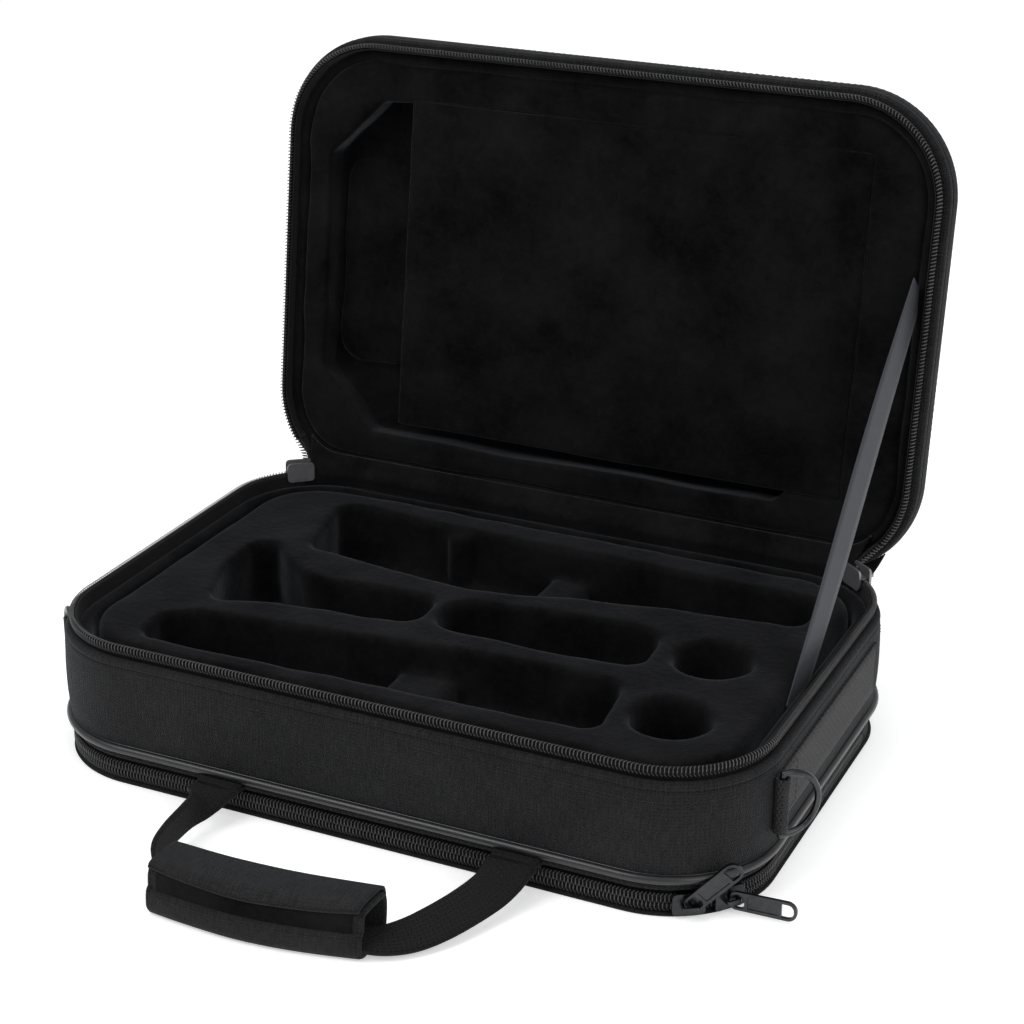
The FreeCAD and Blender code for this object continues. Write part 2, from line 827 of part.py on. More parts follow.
def strap_section(centre, along, width, cant_deg):
    """Flat section of the strap across its path, canted about the path."""
    along = V(along)
    along.normalize()
    side = V(along.y, -along.x, 0)
    side.normalize()
    rise = side.cross(along)
    cant = math.radians(cant_deg)
    side, rise = (side * math.cos(cant) + rise * math.sin(cant),
                  rise * math.cos(cant) - side * math.sin(cant))
    across = side * (width / 2)
    up = rise * (strap_thickness / 2)
    corners = [centre - across - up, centre + across - up, centre + across + up, centre - across + up]
    return Part.makePolygon(corners + [corners[0]])


def handle_strap():
    """Webbing from one root through the grip to the other, canted between them."""
    root_y = handle_axis_y
    seat_z = grip_lift + grip_wall + grip_seat + strap_thickness / 2
    left = grip_centre_x - grip_length / 2
    right = grip_centre_x + grip_length / 2
    spans = []
    ends = (
        (handle_left_root, left, -1),
        (handle_right_root, right, 1),
    )
    for root_x, mouth_x, side in ends:
        start = V(root_x, root_y - strap_flat_run, handle_hinge_height)
        turn = V(mouth_x + side * strap_width, grip_centre_y, seat_z)
        finish = V(mouth_x + side * grip_wall, grip_centre_y, seat_z)
        first = V(root_x, (root_y + grip_centre_y) / 2, handle_hinge_height)
        spans.append((start, first, turn, finish))
    route = []
    steps = 12
    for index, (p0, p1, p2, p3) in enumerate(spans):
        points = []
        for i in range(steps + 1):
            t = i / steps
            s = 1 - t
            point = p0 * (s ** 3) + p1 * (3 * s * s * t) + p2 * (3 * s * t * t) + p3 * (t ** 3)
            slope = (p1 - p0) * (s * s) + (p2 - p1) * (2 * s * t) + (p3 - p2) * (t * t)
            points.append((point, slope, math.sin(math.pi * t) ** 2 * strap_cant_deg))
        if index == 1:
            points = [(point, slope * -1, cant) for point, slope, cant in points[::-1]]
        route += points
    wires = [strap_section(point, slope, strap_width, cant) for point, slope, cant in route]
    band = Part.makeLoft(wires, True, True)
    for root_x, mouth_x, side in ends:
        foot = V(root_x - strap_width / 2, root_y, handle_hinge_height)
        roll = Part.makeCylinder(strap_thickness / 2, strap_width, foot, ALONG_X)
        corner = foot - V(0, strap_flat_run, strap_thickness / 2)
        flat = Part.makeBox(strap_width, strap_flat_run, strap_thickness, corner)
        band = band.fuse(flat.fuse(roll))
    return band.removeSplitter()


def grip_profile(shrink, corner, x):
    """Rounded section of the grip, drawn in the YZ plane."""
    half = grip_depth / 2 - shrink
    low = grip_lift + shrink
    high = grip_lift + grip_height - shrink
    corners = [
        (grip_centre_y - half, low, corner), (grip_centre_y + half, low, corner),
        (grip_centre_y + half, high, corner), (grip_centre_y - half, high, corner),
    ]
    wire = rounded_wire(corners, 0)
    wire.rotate(ORIGIN, V(1, 1, 1), 120)
    wire.translate(V(x, 0, 0))
    return wire


def grip_block(shrink, corner, left, right):
    return Part.Face(grip_profile(shrink, corner, left)).extrude(V(right - left, 0, 0))


def grip_wrap():
    """Padded sleeve round the strap, with the closing flap lapped over its front."""
    left = grip_centre_x - grip_length / 2
    right = grip_centre_x + grip_length / 2
    bore = grip_block(grip_wall, grip_inner_corner, left - overrun, right + overrun)
    solid = grip_block(0, grip_corner, left - overrun, right + overrun)
    sleeve = grip_block(0, grip_corner, left, right).cut(bore)
    flap_corner = grip_corner + grip_flap_thickness
    skin = grip_block(-grip_flap_thickness, flap_corner, left, right).cut(solid)
    top = grip_lift + grip_height
    keep = Part.makeBox(grip_length, grip_depth, grip_flap_lap + grip_flap_thickness + overrun,
                        V(left, grip_centre_y - grip_depth, top - grip_flap_lap))
    return sleeve.fuse(skin.common(keep)).removeSplitter()


def grip_loop_strip():
    """Fastening strip that shows below the flap."""
    left = grip_centre_x - grip_length / 2
    top = grip_lift + grip_height - grip_flap_lap
    low = grip_lift + grip_corner
    return Part.makeBox(grip_length, grip_strip_thickness, top - low,
                        V(left, grip_centre_y - grip_depth / 2 - grip_strip_thickness, low))


def build():
    rim_end = zip_end(tray_zip_end_deg)
    lid_end = zip_end(lid_zip_end_deg)
    pocket_end = pocket_zip_half_run
    nodes = {
        "tray_floor": tray_floor(),
        "tray_wall": tray_wall(),
        "wall_lining": wall_lining(),
        "insert": insert(),
        "rim_tape": tape(0, wall_top - tape_overlap, rim_mid - row_low, rim_end),
        "rim_coil": coil_row(0, rim_mid - row_high, rim_mid - row_low, rim_end),
        "gusset_strip": gusset_strip(),
        "piping": piping(),
        "pocket_tape_upper": tape(pocket_line_offset, pocket_mid + row_low, floor_bottom, pocket_end),
        "pocket_coil_upper": coil_row(pocket_line_offset, pocket_mid + row_low,
                                      pocket_mid + row_high, pocket_end),
        "pocket_panel": pocket_panel(),
        "pocket_tape_lower": tape(pocket_line_offset, panel_flange, pocket_mid - row_low, pocket_end),
        "pocket_coil_lower": coil_row(pocket_line_offset, pocket_mid - row_high,
                                      pocket_mid - row_low, pocket_end),
        "pocket_hinge_cloth": pocket_hinge_cloth(),
        "lid_shell": closing(lid_shell()),
        "lid_tape": closing(tape(0, rim_mid + row_low, lid_wall_bottom + tape_overlap, lid_end, True)),
        "lid_coil": closing(coil_row(0, rim_mid + row_low, rim_mid + row_high, lid_end, True)),
        "lid_liner": closing(lid_liner()),
        "lid_flap": closing(lid_flap()),
        "hinge_cloth": hinge_cloth(),
        "hinge_lining": hinge_lining(),
        "stay_strap": stay_strap(),
        "handle_tab_left": handle_tab(handle_left_root),
        "handle_tab_right": handle_tab(handle_right_root),
        "handle_strap": handle_strap(),
        "grip_wrap": grip_wrap(),
        "grip_loop_strip": grip_loop_strip(),
    }
    strap = side_strap()
    ring_shape = strap_ring()
    nodes["side_strap_right"] = strap
    nodes["side_strap_left"] = strap.mirror(ORIGIN, ALONG_X)
    nodes["strap_ring_right"] = ring_shape
    nodes["strap_ring_left"] = ring_shape.mirror(ORIGIN, ALONG_X)
    for side, name in ((1, "right"), (-1, "left")):
        nodes["rim_slider_" + name] = on_corner(slider(-1), side, 1, 0, rim_slider_deg, rim_mid)
        nodes["rim_pull_" + name] = on_corner(
            pull(rim_pull_turn_deg, 0), side, 1, 0, rim_slider_deg, rim_mid)
    for name, angle_deg, flip, turn_deg, swing_deg in pocket_sliders:
        nodes["pocket_slider_" + name] = on_corner(
            slider(1), 1, -1, pocket_line_offset, angle_deg, pocket_mid, flip)
        nodes["pocket_pull_" + name] = on_corner(
            pull(turn_deg, swing_deg), 1, -1, pocket_line_offset, angle_deg, pocket_mid, flip)
    return nodes


os.makedirs("parts", exist_ok=True)
total = 0
for node, shape in build().items():
    if not shape.isValid():
        print("not valid:", node)
    shape.exportStep("parts/" + node + ".step")
    total += shape.Volume
    box = shape.optimalBoundingBox(False)
    print(f"{node:22s} solids {len(shape.Solids)} volume {shape.Volume:10.0f} "
          f"x {box.XMin:7.1f} {box.XMax:7.1f} y {box.YMin:7.1f} {box.YMax:7.1f} "
          f"z {box.ZMin:6.1f} {box.ZMax:6.1f}")
print("volume", round(total))
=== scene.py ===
import bmesh
import bpy
import math
import numpy as np
from mathutils import Matrix, Vector


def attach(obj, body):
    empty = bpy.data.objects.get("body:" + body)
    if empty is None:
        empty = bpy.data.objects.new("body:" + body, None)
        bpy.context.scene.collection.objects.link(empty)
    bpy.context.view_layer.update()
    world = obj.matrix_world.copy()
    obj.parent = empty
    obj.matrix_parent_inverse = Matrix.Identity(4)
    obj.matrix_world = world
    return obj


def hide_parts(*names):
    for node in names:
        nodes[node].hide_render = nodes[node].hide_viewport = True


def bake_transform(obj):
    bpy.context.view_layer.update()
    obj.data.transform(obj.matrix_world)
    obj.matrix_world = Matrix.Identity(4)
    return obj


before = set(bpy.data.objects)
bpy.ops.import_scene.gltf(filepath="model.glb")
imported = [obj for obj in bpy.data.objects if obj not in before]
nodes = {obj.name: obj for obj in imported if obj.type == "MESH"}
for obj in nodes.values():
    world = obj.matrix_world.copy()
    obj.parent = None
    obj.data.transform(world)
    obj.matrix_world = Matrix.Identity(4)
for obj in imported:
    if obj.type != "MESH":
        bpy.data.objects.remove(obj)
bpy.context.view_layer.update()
link = bpy.context.collection.objects.link

MM = 0.001
# Sizes in millimetres, as in the solids; first the zip line's half sides and radius
HALF_W, HALF_D, CORNER = 180.0, 120.6, 50.0
CORNER_X, CORNER_Y = HALF_W - CORNER, HALF_D - CORNER
LID_BACK, LID_BLEND = 113.6, 30.0
POCKET_MID, POCKET_LINE = 7.2, 1.6
GUSSET_LOW, FLOOR_LOW, FLOOR_TOP = 13.1, 16.8, 21.4
WALL_TOP = 66.6
RIM_MID = WALL_TOP + 6.6
LID_LOW, LID_TOP = RIM_MID + 6.6, RIM_MID + 31.0
LINER_FACE = RIM_MID + 6.5
HINGE_Y, HINGE_Z, OPEN_DEG = 115.9, RIM_MID - 0.9, 97.26
SIDE_RUN = 2 * CORNER_Y
ARC = math.pi / 2 * CORNER
# On each back corner the lid's outline turns on CORNER first, then tighter on LID_BLEND
LID_RISE = LID_BACK - LID_BLEND - CORNER_Y
LID_RUN = math.sqrt((CORNER - LID_BLEND) ** 2 - LID_RISE ** 2)
LID_TURN = math.atan2(LID_RISE, LID_RUN)
# Half a coil row's distance to its facing row, and the length from tooth to tooth
COIL_OFF, COIL_PITCH = 1.3, 1.79
WALL_FACE, STITCH_GAP = 3.6, 3.4


def make_camera():
    """The camera stands where the photograph was taken from."""
    azimuth, elevation, roll = (math.radians(v) for v in (24.691, 23.057, 0.486))
    place = Vector((0.4503, -0.9382, 0.5625))
    focal_px, picture_px, sensor = 2324.94, 1024, 36
    back = Vector((math.sin(azimuth) * math.cos(elevation), -math.cos(azimuth) * math.cos(elevation),
                   math.sin(elevation)))
    right = (-back).cross(Vector((0, 0, 1))).normalized()
    up = right.cross(-back)
    right, up = (right * math.cos(roll) + up * math.sin(roll),
                 up * math.cos(roll) - right * math.sin(roll))
    data = bpy.data.cameras.new("camera")
    data.sensor_width = sensor
    data.lens = focal_px / picture_px * sensor
    data.clip_end = 20
    cam = bpy.data.objects.new("camera", data)
    cam.matrix_world = Matrix.Translation(place) @ Matrix((right, up, back)).transposed().to_4x4()
    link(cam)
    bpy.context.scene.camera = cam


# Materials

def new_nodes(owner, *kinds):
    """Empties an owner's node tree and fills it with these nodes."""
    owner.use_nodes = True
    tree = owner.node_tree
    tree.nodes.clear()
    return tree, [tree.nodes.new("ShaderNode" + kind) for kind in kinds]


def node_tree(name):
    m = bpy.data.materials.new(name)
    tree, (out, bsdf) = new_nodes(m, "OutputMaterial", "BsdfPrincipled")
    tree.links.new(bsdf.outputs[0], out.inputs[0])
    return m, tree, bsdf


def math_node(tree, op, *values):
    n = tree.nodes.new("ShaderNodeMath")
    n.operation = op
    for i, v in enumerate(values):
        if isinstance(v, (int, float)):
            n.inputs[i].default_value = v
        else:
            tree.links.new(v, n.inputs[i])
    return n.outputs[0]


def add(tree, a, b):
    return math_node(tree, "ADD", a, b)


def mul(tree, a, b):
    return math_node(tree, "MULTIPLY", a, b)


def mul_add(tree, a, b, c):
    return math_node(tree, "MULTIPLY_ADD", a, b, c)


def settle(tree, bsdf, **values):
    """Sets or links a surface's inputs; an underscore stands for a space in a name."""
    for key, value in values.items():
        socket = bsdf.inputs[key.replace("_", " ")]
        if isinstance(value, bpy.types.NodeSocket):
            tree.links.new(value, socket)
        else:
            socket.default_value = value


def coords(tree, kind, scale=(1, 1, 1)):
    tc = tree.nodes.new("ShaderNodeTexCoord")
    mp = tree.nodes.new("ShaderNodeMapping")
    mp.inputs["Scale"].default_value = scale
    tree.links.new(tc.outputs[kind], mp.inputs[0])
    return mp.outputs[0]


def noise(tree, vec, scale, detail=3.0, rough=0.5):
    n = tree.nodes.new("ShaderNodeTexNoise")
    n.inputs["Scale"].default_value = scale
    n.inputs["Detail"].default_value = detail
    n.inputs["Roughness"].default_value = rough
    tree.links.new(vec, n.inputs["Vector"])
    return n.outputs["Fac"]


def ramp(tree, fac, low, high, dark, light):
    n = tree.nodes.new("ShaderNodeValToRGB")
    for element, place, color in zip(n.color_ramp.elements, (low, high), (dark, light)):
        element.position = place
        element.color = (*color, 1)
    tree.links.new(fac, n.inputs[0])
    return n.outputs[0]


def bump(tree, bsdf, height, distance, strength=1.0):
    n = tree.nodes.new("ShaderNodeBump")
    n.inputs["Strength"].default_value = strength
    n.inputs["Distance"].default_value = distance
    tree.links.new(height, n.inputs["Height"])
    tree.links.new(n.outputs[0], bsdf.inputs["Normal"])


def weave_height(tree, vec, pitch_u, pitch_v):
    """Plain weave over UV in metres: threads that pass over and under in turn."""
    sep = tree.nodes.new("ShaderNodeSeparateXYZ")
    tree.links.new(vec, sep.inputs[0])
    u = mul(tree, sep.outputs[0], math.pi / pitch_u)
    v = mul(tree, sep.outputs[1], math.pi / pitch_v)
    turn = mul(tree, math_node(tree, "COSINE", u), math_node(tree, "COSINE", v))
    height = []
    for a, sign in ((u, 0.5), (v, -0.5)):
        thread = math_node(tree, "ABSOLUTE", math_node(tree, "SINE", a))
        height.append(mul(tree, thread, mul_add(tree, turn, sign, 0.5)))
    return math_node(tree, "MAXIMUM", *height)


def cloth(name, dark, light, pitch, depth, rough=0.75, sheen=0.05):
    """Woven nylon: uneven threads both ways, from UV in metres, with specks and soft patches."""
    m, tree, bsdf = node_tree(name)
    obj = coords(tree, "Object")
    h = weave_height(tree, coords(tree, "UV"), pitch, pitch)
    warp = noise(tree, coords(tree, "UV", (1.0, 0.12, 1.0)), 1000, 2, 0.6)
    weft = noise(tree, coords(tree, "UV", (0.2, 1.0, 1.0)), 1000, 2, 0.6)
    grain = noise(tree, obj, 2100, 2, 0.7)
    patch = noise(tree, obj, 18, 4, 0.6)
    threads = add(tree, mul(tree, warp, 0.45), mul(tree, weft, 0.2))
    mix = mul_add(tree, h, 0.32, mul_add(tree, grain, 0.42, threads))
    mix = add(tree, mix, mul_add(tree, patch, 0.2, -0.31))
    settle(tree, bsdf, Base_Color=ramp(tree, mix, 0.39, 0.64, dark, light),
           Roughness=mul_add(tree, patch, -0.25, rough + 0.12), Sheen_Weight=sheen, Sheen_Roughness=0.45,
           Sheen_Tint=(0.75, 0.8, 0.9, 1), Specular_IOR_Level=0.22)
    bump(tree, bsdf, add(tree, mul_add(tree, grain, 0.35, h), threads), depth, 0.9)
    return m


def plush(name, dark, light, sheen):
    """Short pile: fine tufts, brushed patches and a soft bright edge."""
    m, tree, bsdf = node_tree(name)
    obj = coords(tree, "Object")
    tuft = noise(tree, obj, 1400, 2, 0.7)
    clump = noise(tree, obj, 240, 3, 0.6)
    patch = noise(tree, obj, 26, 4, 0.55)
    mix = add(tree, mul(tree, tuft, 0.35), mul_add(tree, clump, 0.25, mul(tree, patch, 0.75)))
    settle(tree, bsdf, Base_Color=ramp(tree, mix, 0.5, 0.86, dark, light), Roughness=0.95,
           Specular_IOR_Level=0.06, Sheen_Weight=sheen, Sheen_Roughness=0.38,
           Sheen_Tint=(0.60, 0.63, 0.70, 1))
    bump(tree, bsdf, mul_add(tree, clump, 0.8, mul(tree, tuft, 0.5)), 0.0006, 0.7)
    return m


def ribbed(name, dark, light, pitch_u, pitch_v, depth, rough=0.6, sheen=0.1, spec=0.22):
    """Webbing and tape: ribs across, cords along, from UV in metres."""
    m, tree, bsdf = node_tree(name)
    h = weave_height(tree, coords(tree, "UV"), pitch_u, pitch_v)
    grain = noise(tree, coords(tree, "Object"), 1100, 3)
    mix = mul_add(tree, h, 0.7, mul(tree, grain, 0.35))
    settle(tree, bsdf, Base_Color=ramp(tree, mix, 0.1, 0.95, dark, light),
           Roughness=mul_add(tree, grain, 0.25, rough - 0.1), Sheen_Weight=sheen, Sheen_Roughness=0.4,
           Specular_IOR_Level=spec)
    bump(tree, bsdf, mul_add(tree, grain, 0.25, h), depth)
    return m


def plain(name, dark, light, metallic, rough, spec, scale, coat=0.0):
    """Moulded or plated surface with small marks and uneven gloss."""
    m, tree, bsdf = node_tree(name)
    obj = coords(tree, "Object")
    fine = noise(tree, obj, scale, 4, 0.6)
    broad = noise(tree, obj, scale / 9, 3)
    mix = mul_add(tree, fine, 0.5, mul(tree, broad, 0.5))
    settle(tree, bsdf, Base_Color=ramp(tree, mix, 0.3, 0.75, dark, light),
           Roughness=mul_add(tree, fine, 0.22, rough - 0.1), Metallic=metallic,
           Specular_IOR_Level=spec, Coat_Weight=coat)
    bump(tree, bsdf, mix, 0.00008, 0.5)
    return m


M = {
    "shell": cloth("shell_cloth_look", (0.0011, 0.0011, 0.0013), (0.0158, 0.0159, 0.0167), 0.0017, 0.0007),
    "grip": cloth("grip_cloth_look", (0.0015, 0.0015, 0.0016), (0.02, 0.0198, 0.0202),
                  0.0011, 0.0006, 0.8, 0.06),
    "plush": plush("plush_look", (0.0005, 0.0005, 0.00052), (0.0079, 0.0079, 0.0083), 0.15),
    "velvet": plush("velvet_look", (0.0015, 0.0015, 0.0016), (0.011, 0.011, 0.0115), 0.15),
    "tape": ribbed("zip_tape_look", (0.0014, 0.0014, 0.0016), (0.0075, 0.0076, 0.0083),
                   0.0005, 0.0007, 0.0002, 0.6, 0.05),
    # One webbing in two copies: the side straps' copy is lighter and glossier, painted light where light
    # grazes the side walls
    "webbing": ribbed("webbing_look", (0.001, 0.001, 0.0011), (0.0135, 0.0136, 0.0141),
                      0.0021, 0.0019, 0.0009, 0.85, 0.02),
    "lit_webbing": ribbed("side_webbing_painted_light_look", (0.001, 0.001, 0.0011), (0.015, 0.0151, 0.0156),
                   0.0021, 0.0019, 0.0009, 0.65, 0.05, 0.35),
    "satin": ribbed("satin_tape_look", (0.035, 0.0375, 0.0455), (0.050, 0.0533, 0.0625),
                    0.0004, 0.0009, 0.00004, 0.55, 0.1),
    "coil": plain("zip_coil_look", (0.035, 0.035, 0.0355), (0.085, 0.085, 0.086), 0.0, 0.36, 0.5, 500),
    "thread": ribbed("thread_look", (0.026, 0.026, 0.0265), (0.08, 0.08, 0.081), 0.0004, 0.0004, 0.0001),
    # The core cord is near black: partly its own colour, partly painted shade for the inside of the coil
    "core": plain("zip_core_painted_shade_look", (0.0012, 0.0012, 0.0013), (0.004, 0.004, 0.0042), 0.0, 0.8, 0.2, 400),
    "seam": ribbed("seam_thread_look", (0.006, 0.006, 0.0065), (0.028, 0.028, 0.0295),
                   0.0004, 0.0004, 0.0001),
    "vinyl": plain("piping_vinyl_look", (0.006, 0.0062, 0.007), (0.014, 0.0145, 0.016),
                   0.0, 0.36, 0.5, 180, 0.1),
    "metal": plain("gunmetal_look", (0.03, 0.031, 0.033), (0.07, 0.071, 0.075), 1.0, 0.32, 0.5, 420),
    "bright": plain("bare_steel_look", (0.2, 0.2, 0.21), (0.3, 0.3, 0.31), 0.8, 0.4, 0.5, 350),
    "steel": plain("ring_steel_look", (0.03, 0.031, 0.033), (0.075, 0.076, 0.08), 1.0, 0.28, 0.5, 350),
    "board": plain("board_look", (0.006, 0.006, 0.007), (0.015, 0.015, 0.017), 0.0, 0.8, 0.3, 260),
}


# Mesh helpers, in millimetres

def lengths(line):
    """Way from a line's start to each of its points."""
    return np.concatenate([[0], np.cumsum(np.linalg.norm(np.diff(line, axis=0), axis=1))])


def unit(v):
    return v / np.linalg.norm(v, axis=1)[:, None]


def uv_over(u, v):
    return np.stack(np.meshgrid(u, v, indexing="ij"), -1)


def taken_at(field, at, run):
    """Columns of a field known at run, taken at other places."""
    return np.column_stack([np.interp(at, run, field[:, k]) for k in range(3)])


def to_open(p):
    """Swings points of the closed lid, N x 3, to its open place."""
    a = math.radians(-OPEN_DEG)
    q = np.array(p, float)
    dy, dz = q[..., 1] - HINGE_Y, q[..., 2] - HINGE_Z
    q[..., 1] = HINGE_Y + dy * math.cos(a) - dz * math.sin(a)
    q[..., 2] = HINGE_Z + dy * math.sin(a) + dz * math.cos(a)
    return q


def add_mesh(name, verts, faces, material, uvs):
    me = bpy.data.meshes.new(name)
    me.from_pydata((np.asarray(verts, float) * MM).tolist(), [], faces)
    layer = me.uv_layers.new(name="uv")
    layer.data.foreach_set("uv", (np.asarray(uvs, float) * MM).ravel())
    me.materials.append(material)
    me.polygons.foreach_set("use_smooth", [True] * len(me.polygons))
    me.validate()
    ob = bpy.data.objects.new(name, me)
    link(ob)
    return ob


def grid(name, pts, uv, material, close_u=False, close_v=False, caps=False):
    """Surface over an N x M grid of points; uv is N x M x 2, or one longer where closed."""
    n, m = pts.shape[:2]
    nu, nv = n if close_u else n - 1, m if close_v else m - 1
    i, j = np.meshgrid(np.arange(nu), np.arange(nv), indexing="ij")
    a = i * m + j
    b = ((i + 1) % n) * m + j
    c = ((i + 1) % n) * m + (j + 1) % m
    d = i * m + (j + 1) % m
    faces = np.stack([a, b, c, d], -1).reshape(-1, 4).tolist()
    loops = np.stack([uv[i, j], uv[i + 1, j], uv[i + 1, j + 1], uv[i, j + 1]], 2).reshape(-1, 2)
    if caps:
        faces.append(list(range(m))[::-1])
        faces.append(list(range((n - 1) * m, n * m)))
        loops = np.concatenate([loops, np.zeros((2 * m, 2))])
    return add_mesh(name, pts.reshape(-1, 3), faces, material, loops)


def rim_line(s, lid=False):
    """Point and outward normal on the zip line at run s from the front's middle."""
    s = np.asarray(s, float)
    t = np.abs(s)
    x, y, nx, ny = np.zeros((4, *t.shape))
    spans = [("line", CORNER_X, (0, -HALF_D), (1, 0), (0, -1)),
             ("arc", ARC, (CORNER_X, -CORNER_Y), CORNER, -90),
             ("line", SIDE_RUN, (HALF_W, -CORNER_Y), (0, 1), (1, 0))]
    if lid:
        turn = math.degrees(LID_TURN)
        bx = CORNER_X + LID_RUN
        spans += [("arc", math.radians(turn) * CORNER, (CORNER_X, CORNER_Y), CORNER, 0),
                  ("arc", math.radians(90 - turn) * LID_BLEND, (bx, CORNER_Y + LID_RISE), LID_BLEND, turn),
                  ("line", bx + 1, (bx, LID_BACK), (-1, 0), (0, 1))]
    else:
        spans += [("arc", ARC, (CORNER_X, CORNER_Y), CORNER, 0),
                  ("line", CORNER_X + 1, (CORNER_X, HALF_D), (-1, 0), (0, 1))]
    start = 0.0
    for kind, length, p, q, r in spans:
        on = (t >= start - 1e-9) & (t <= start + length + 1e-9)
        u = t[on] - start
        if kind == "line":
            x[on], y[on] = p[0] + q[0] * u, p[1] + q[1] * u
            nx[on], ny[on] = r
        else:
            ang = math.radians(r) + u / q
            nx[on], ny[on] = np.cos(ang), np.sin(ang)
            x[on], y[on] = p[0] + q * nx[on], p[1] + q * ny[on]
        start += length
    sign = np.where(s < 0, -1.0, 1.0)
    return np.stack([x * sign, y], -1), np.stack([nx * sign, ny], -1)


def middle_closed(ob):
    """Closes the pinhole where a flat cloth's rings meet; its edges are the shortest."""
    bm = bmesh.new()
    bm.from_mesh(ob.data)
    pinhole = [e for e in bm.edges if e.is_boundary and e.calc_length() < 0.6 * MM]
    bmesh.ops.holes_fill(bm, edges=pinhole, sides=0)
    bm.to_mesh(ob.data)
    bm.free()


def half_run(lid=False):
    if lid:
        turns = LID_TURN * CORNER + (math.pi / 2 - LID_TURN) * LID_BLEND
        return CORNER_X + ARC + SIDE_RUN + turns + CORNER_X + LID_RUN
    return 2 * CORNER_X + 2 * ARC + SIDE_RUN


def run_to_angle(deg):
    """Run from the front's middle to an angle on the back corner."""
    return CORNER_X + ARC + SIDE_RUN + math.radians(deg) * CORNER


def sweep(name, profile, material, step=3.0, ends=None, lid=False, closed=True, shift=None):
    """Carries a profile of offset and height along the zip line, all round or between two runs."""
    half = half_run(lid)
    if ends is None:
        n = int(2 * half / step)
        s = np.linspace(-half, half, n, endpoint=False)
    else:
        n = max(2, int((ends[1] - ends[0]) / step))
        s = np.linspace(ends[0], ends[1], n)
    p, nn = rim_line(s, lid)
    prof = np.broadcast_to(np.asarray(profile, float), (len(s), len(profile), 2)).copy()
    if shift is not None:
        prof += shift(s, prof)
    pts = np.zeros((len(s), prof.shape[1], 3))
    pts[..., :2] = p[:, None, :] + nn[:, None, :] * prof[..., :1]
    pts[..., 2] = prof[..., 1]
    loop = np.vstack([profile, profile[:1]]).astype(float)
    su = np.append(s, half) if ends is None else np.append(s, s[-1])
    uv = uv_over(su, lengths(loop))
    if lid:
        pts = to_open(pts)
    return grid(name, pts, uv, material, close_u=ends is None, close_v=closed,
                caps=closed and ends is not None)


def smooth_noise(s, period, seed, amount):
    """Slow wander along a run, the same each time."""
    r = np.random.default_rng(seed)
    out = np.zeros_like(np.asarray(s, float))
    for k in range(1, 5):
        out += r.normal() / k * np.sin(2 * math.pi * k * s / period + r.uniform(0, 6.28))
    return out * amount


def final(ob):
    """Makes the modifiers' result the piece's own mesh."""
    dg = bpy.context.evaluated_depsgraph_get()
    me = bpy.data.meshes.new_from_object(ob.evaluated_get(dg))
    ob.modifiers.clear()
    ob.data = me
    me.name = ob.name
    return ob


def thickened(ob, thick, offset=-1):
    sol = ob.modifiers.new("t", "SOLIDIFY")
    sol.thickness = thick * MM
    sol.offset = offset
    return final(ob)


# One tooth's bend: places along the row, towards its head and outwards
HAIRPIN = np.array([
    (-0.42, -1.70, 0.95), (-0.40, -0.60, 1.15), (-0.38, 0.70, 1.15), (-0.32, 1.25, 0.80),
    (0.05, 1.42, -0.05), (0.38, 1.20, -0.75), (0.46, 0.30, -0.90), (0.48, -1.30, -0.60),
    (0.74, -1.75, -0.50), (1.16, -1.85, 0.45)])


def coil(name, line, normal, across, first=0.8):
    """Row of coil teeth as one wire: hairpins side by side along a line, heads towards across."""
    d = lengths(line)
    count = int((d[-1] - first) / COIL_PITCH)
    at = (first + COIL_PITCH * np.arange(count)[:, None] + HAIRPIN[None, :, 0]).ravel()
    v = np.tile(HAIRPIN[:, 1], count)
    o = np.tile(HAIRPIN[:, 2], count)
    pts = taken_at(line, at, d) + taken_at(across, at, d) * v[:, None] + taken_at(normal, at, d) * o[:, None]
    return tube(name, pts, 0.28, M["coil"], ring=6)


def row(z, offset, ends, lid, head):
    """Line, normal and across of a coil row on the zip line."""
    s = np.arange(ends[0], ends[1], 0.8)
    p, nn = rim_line(s, lid)
    line = np.column_stack([p + nn * offset, np.full(len(s), z)])
    nrm = np.column_stack([nn, np.zeros(len(s))])
    acr = np.tile([0.0, 0.0, float(head)], (len(s), 1))
    if lid:
        line = to_open(line)
        nrm, acr = turned(nrm), turned(acr)
    return line, nrm, acr


def turned(v):
    """Directions of the closed lid, in its open place."""
    a = math.radians(-OPEN_DEG)
    rot = np.array([[1, 0, 0], [0, math.cos(a), -math.sin(a)], [0, math.sin(a), math.cos(a)]])
    return np.asarray(v, float) @ rot.T


def coil_stitches(name, line, normal, across, first):
    """Slanted stitches that hold the feet of a coil row."""
    d = lengths(line)
    at = np.arange(first, d[-1] - 1, COIL_PITCH)
    n, a, c = taken_at(normal, at, d), taken_at(across, at, d), taken_at(line, at, d)
    t = unit(np.gradient(c, axis=0))
    return stitches(name, c - a * 2.45 + n * 0.7, t * 0.62 - a * 0.78 - n * 0.1, n - a * 0.15, M["thread"],
                    1.9, 0.5, 0.35)


def tube(name, points, radius, material, ring=8, closed=False):
    """Round tube along points."""
    c = np.asarray(points, float)
    n = len(c)
    tan = unit(np.roll(c, -1, 0) - np.roll(c, 1, 0) if closed else np.gradient(c, axis=0))
    ref = np.where(np.abs(tan[:, 2:3]) > 0.9, [[1.0, 0, 0]], [[0, 0, 1.0]])
    side = unit(np.cross(tan, ref))
    up = np.cross(side, tan)
    ang = np.arange(ring) / ring * 2 * math.pi
    rad = np.broadcast_to(np.asarray(radius, float).reshape(-1, 1, 1), (n, 1, 1))
    pts = c[:, None, :] + (side[:, None, :] * np.cos(ang)[None, :, None]
                           + up[:, None, :] * np.sin(ang)[None, :, None]) * rad
    d = lengths(np.vstack([c, c[:1]]))
    uv = uv_over(d, np.arange(ring + 1) * 2 * math.pi / ring)
    return grid(name, pts, uv, material, close_u=closed, close_v=True, caps=not closed)


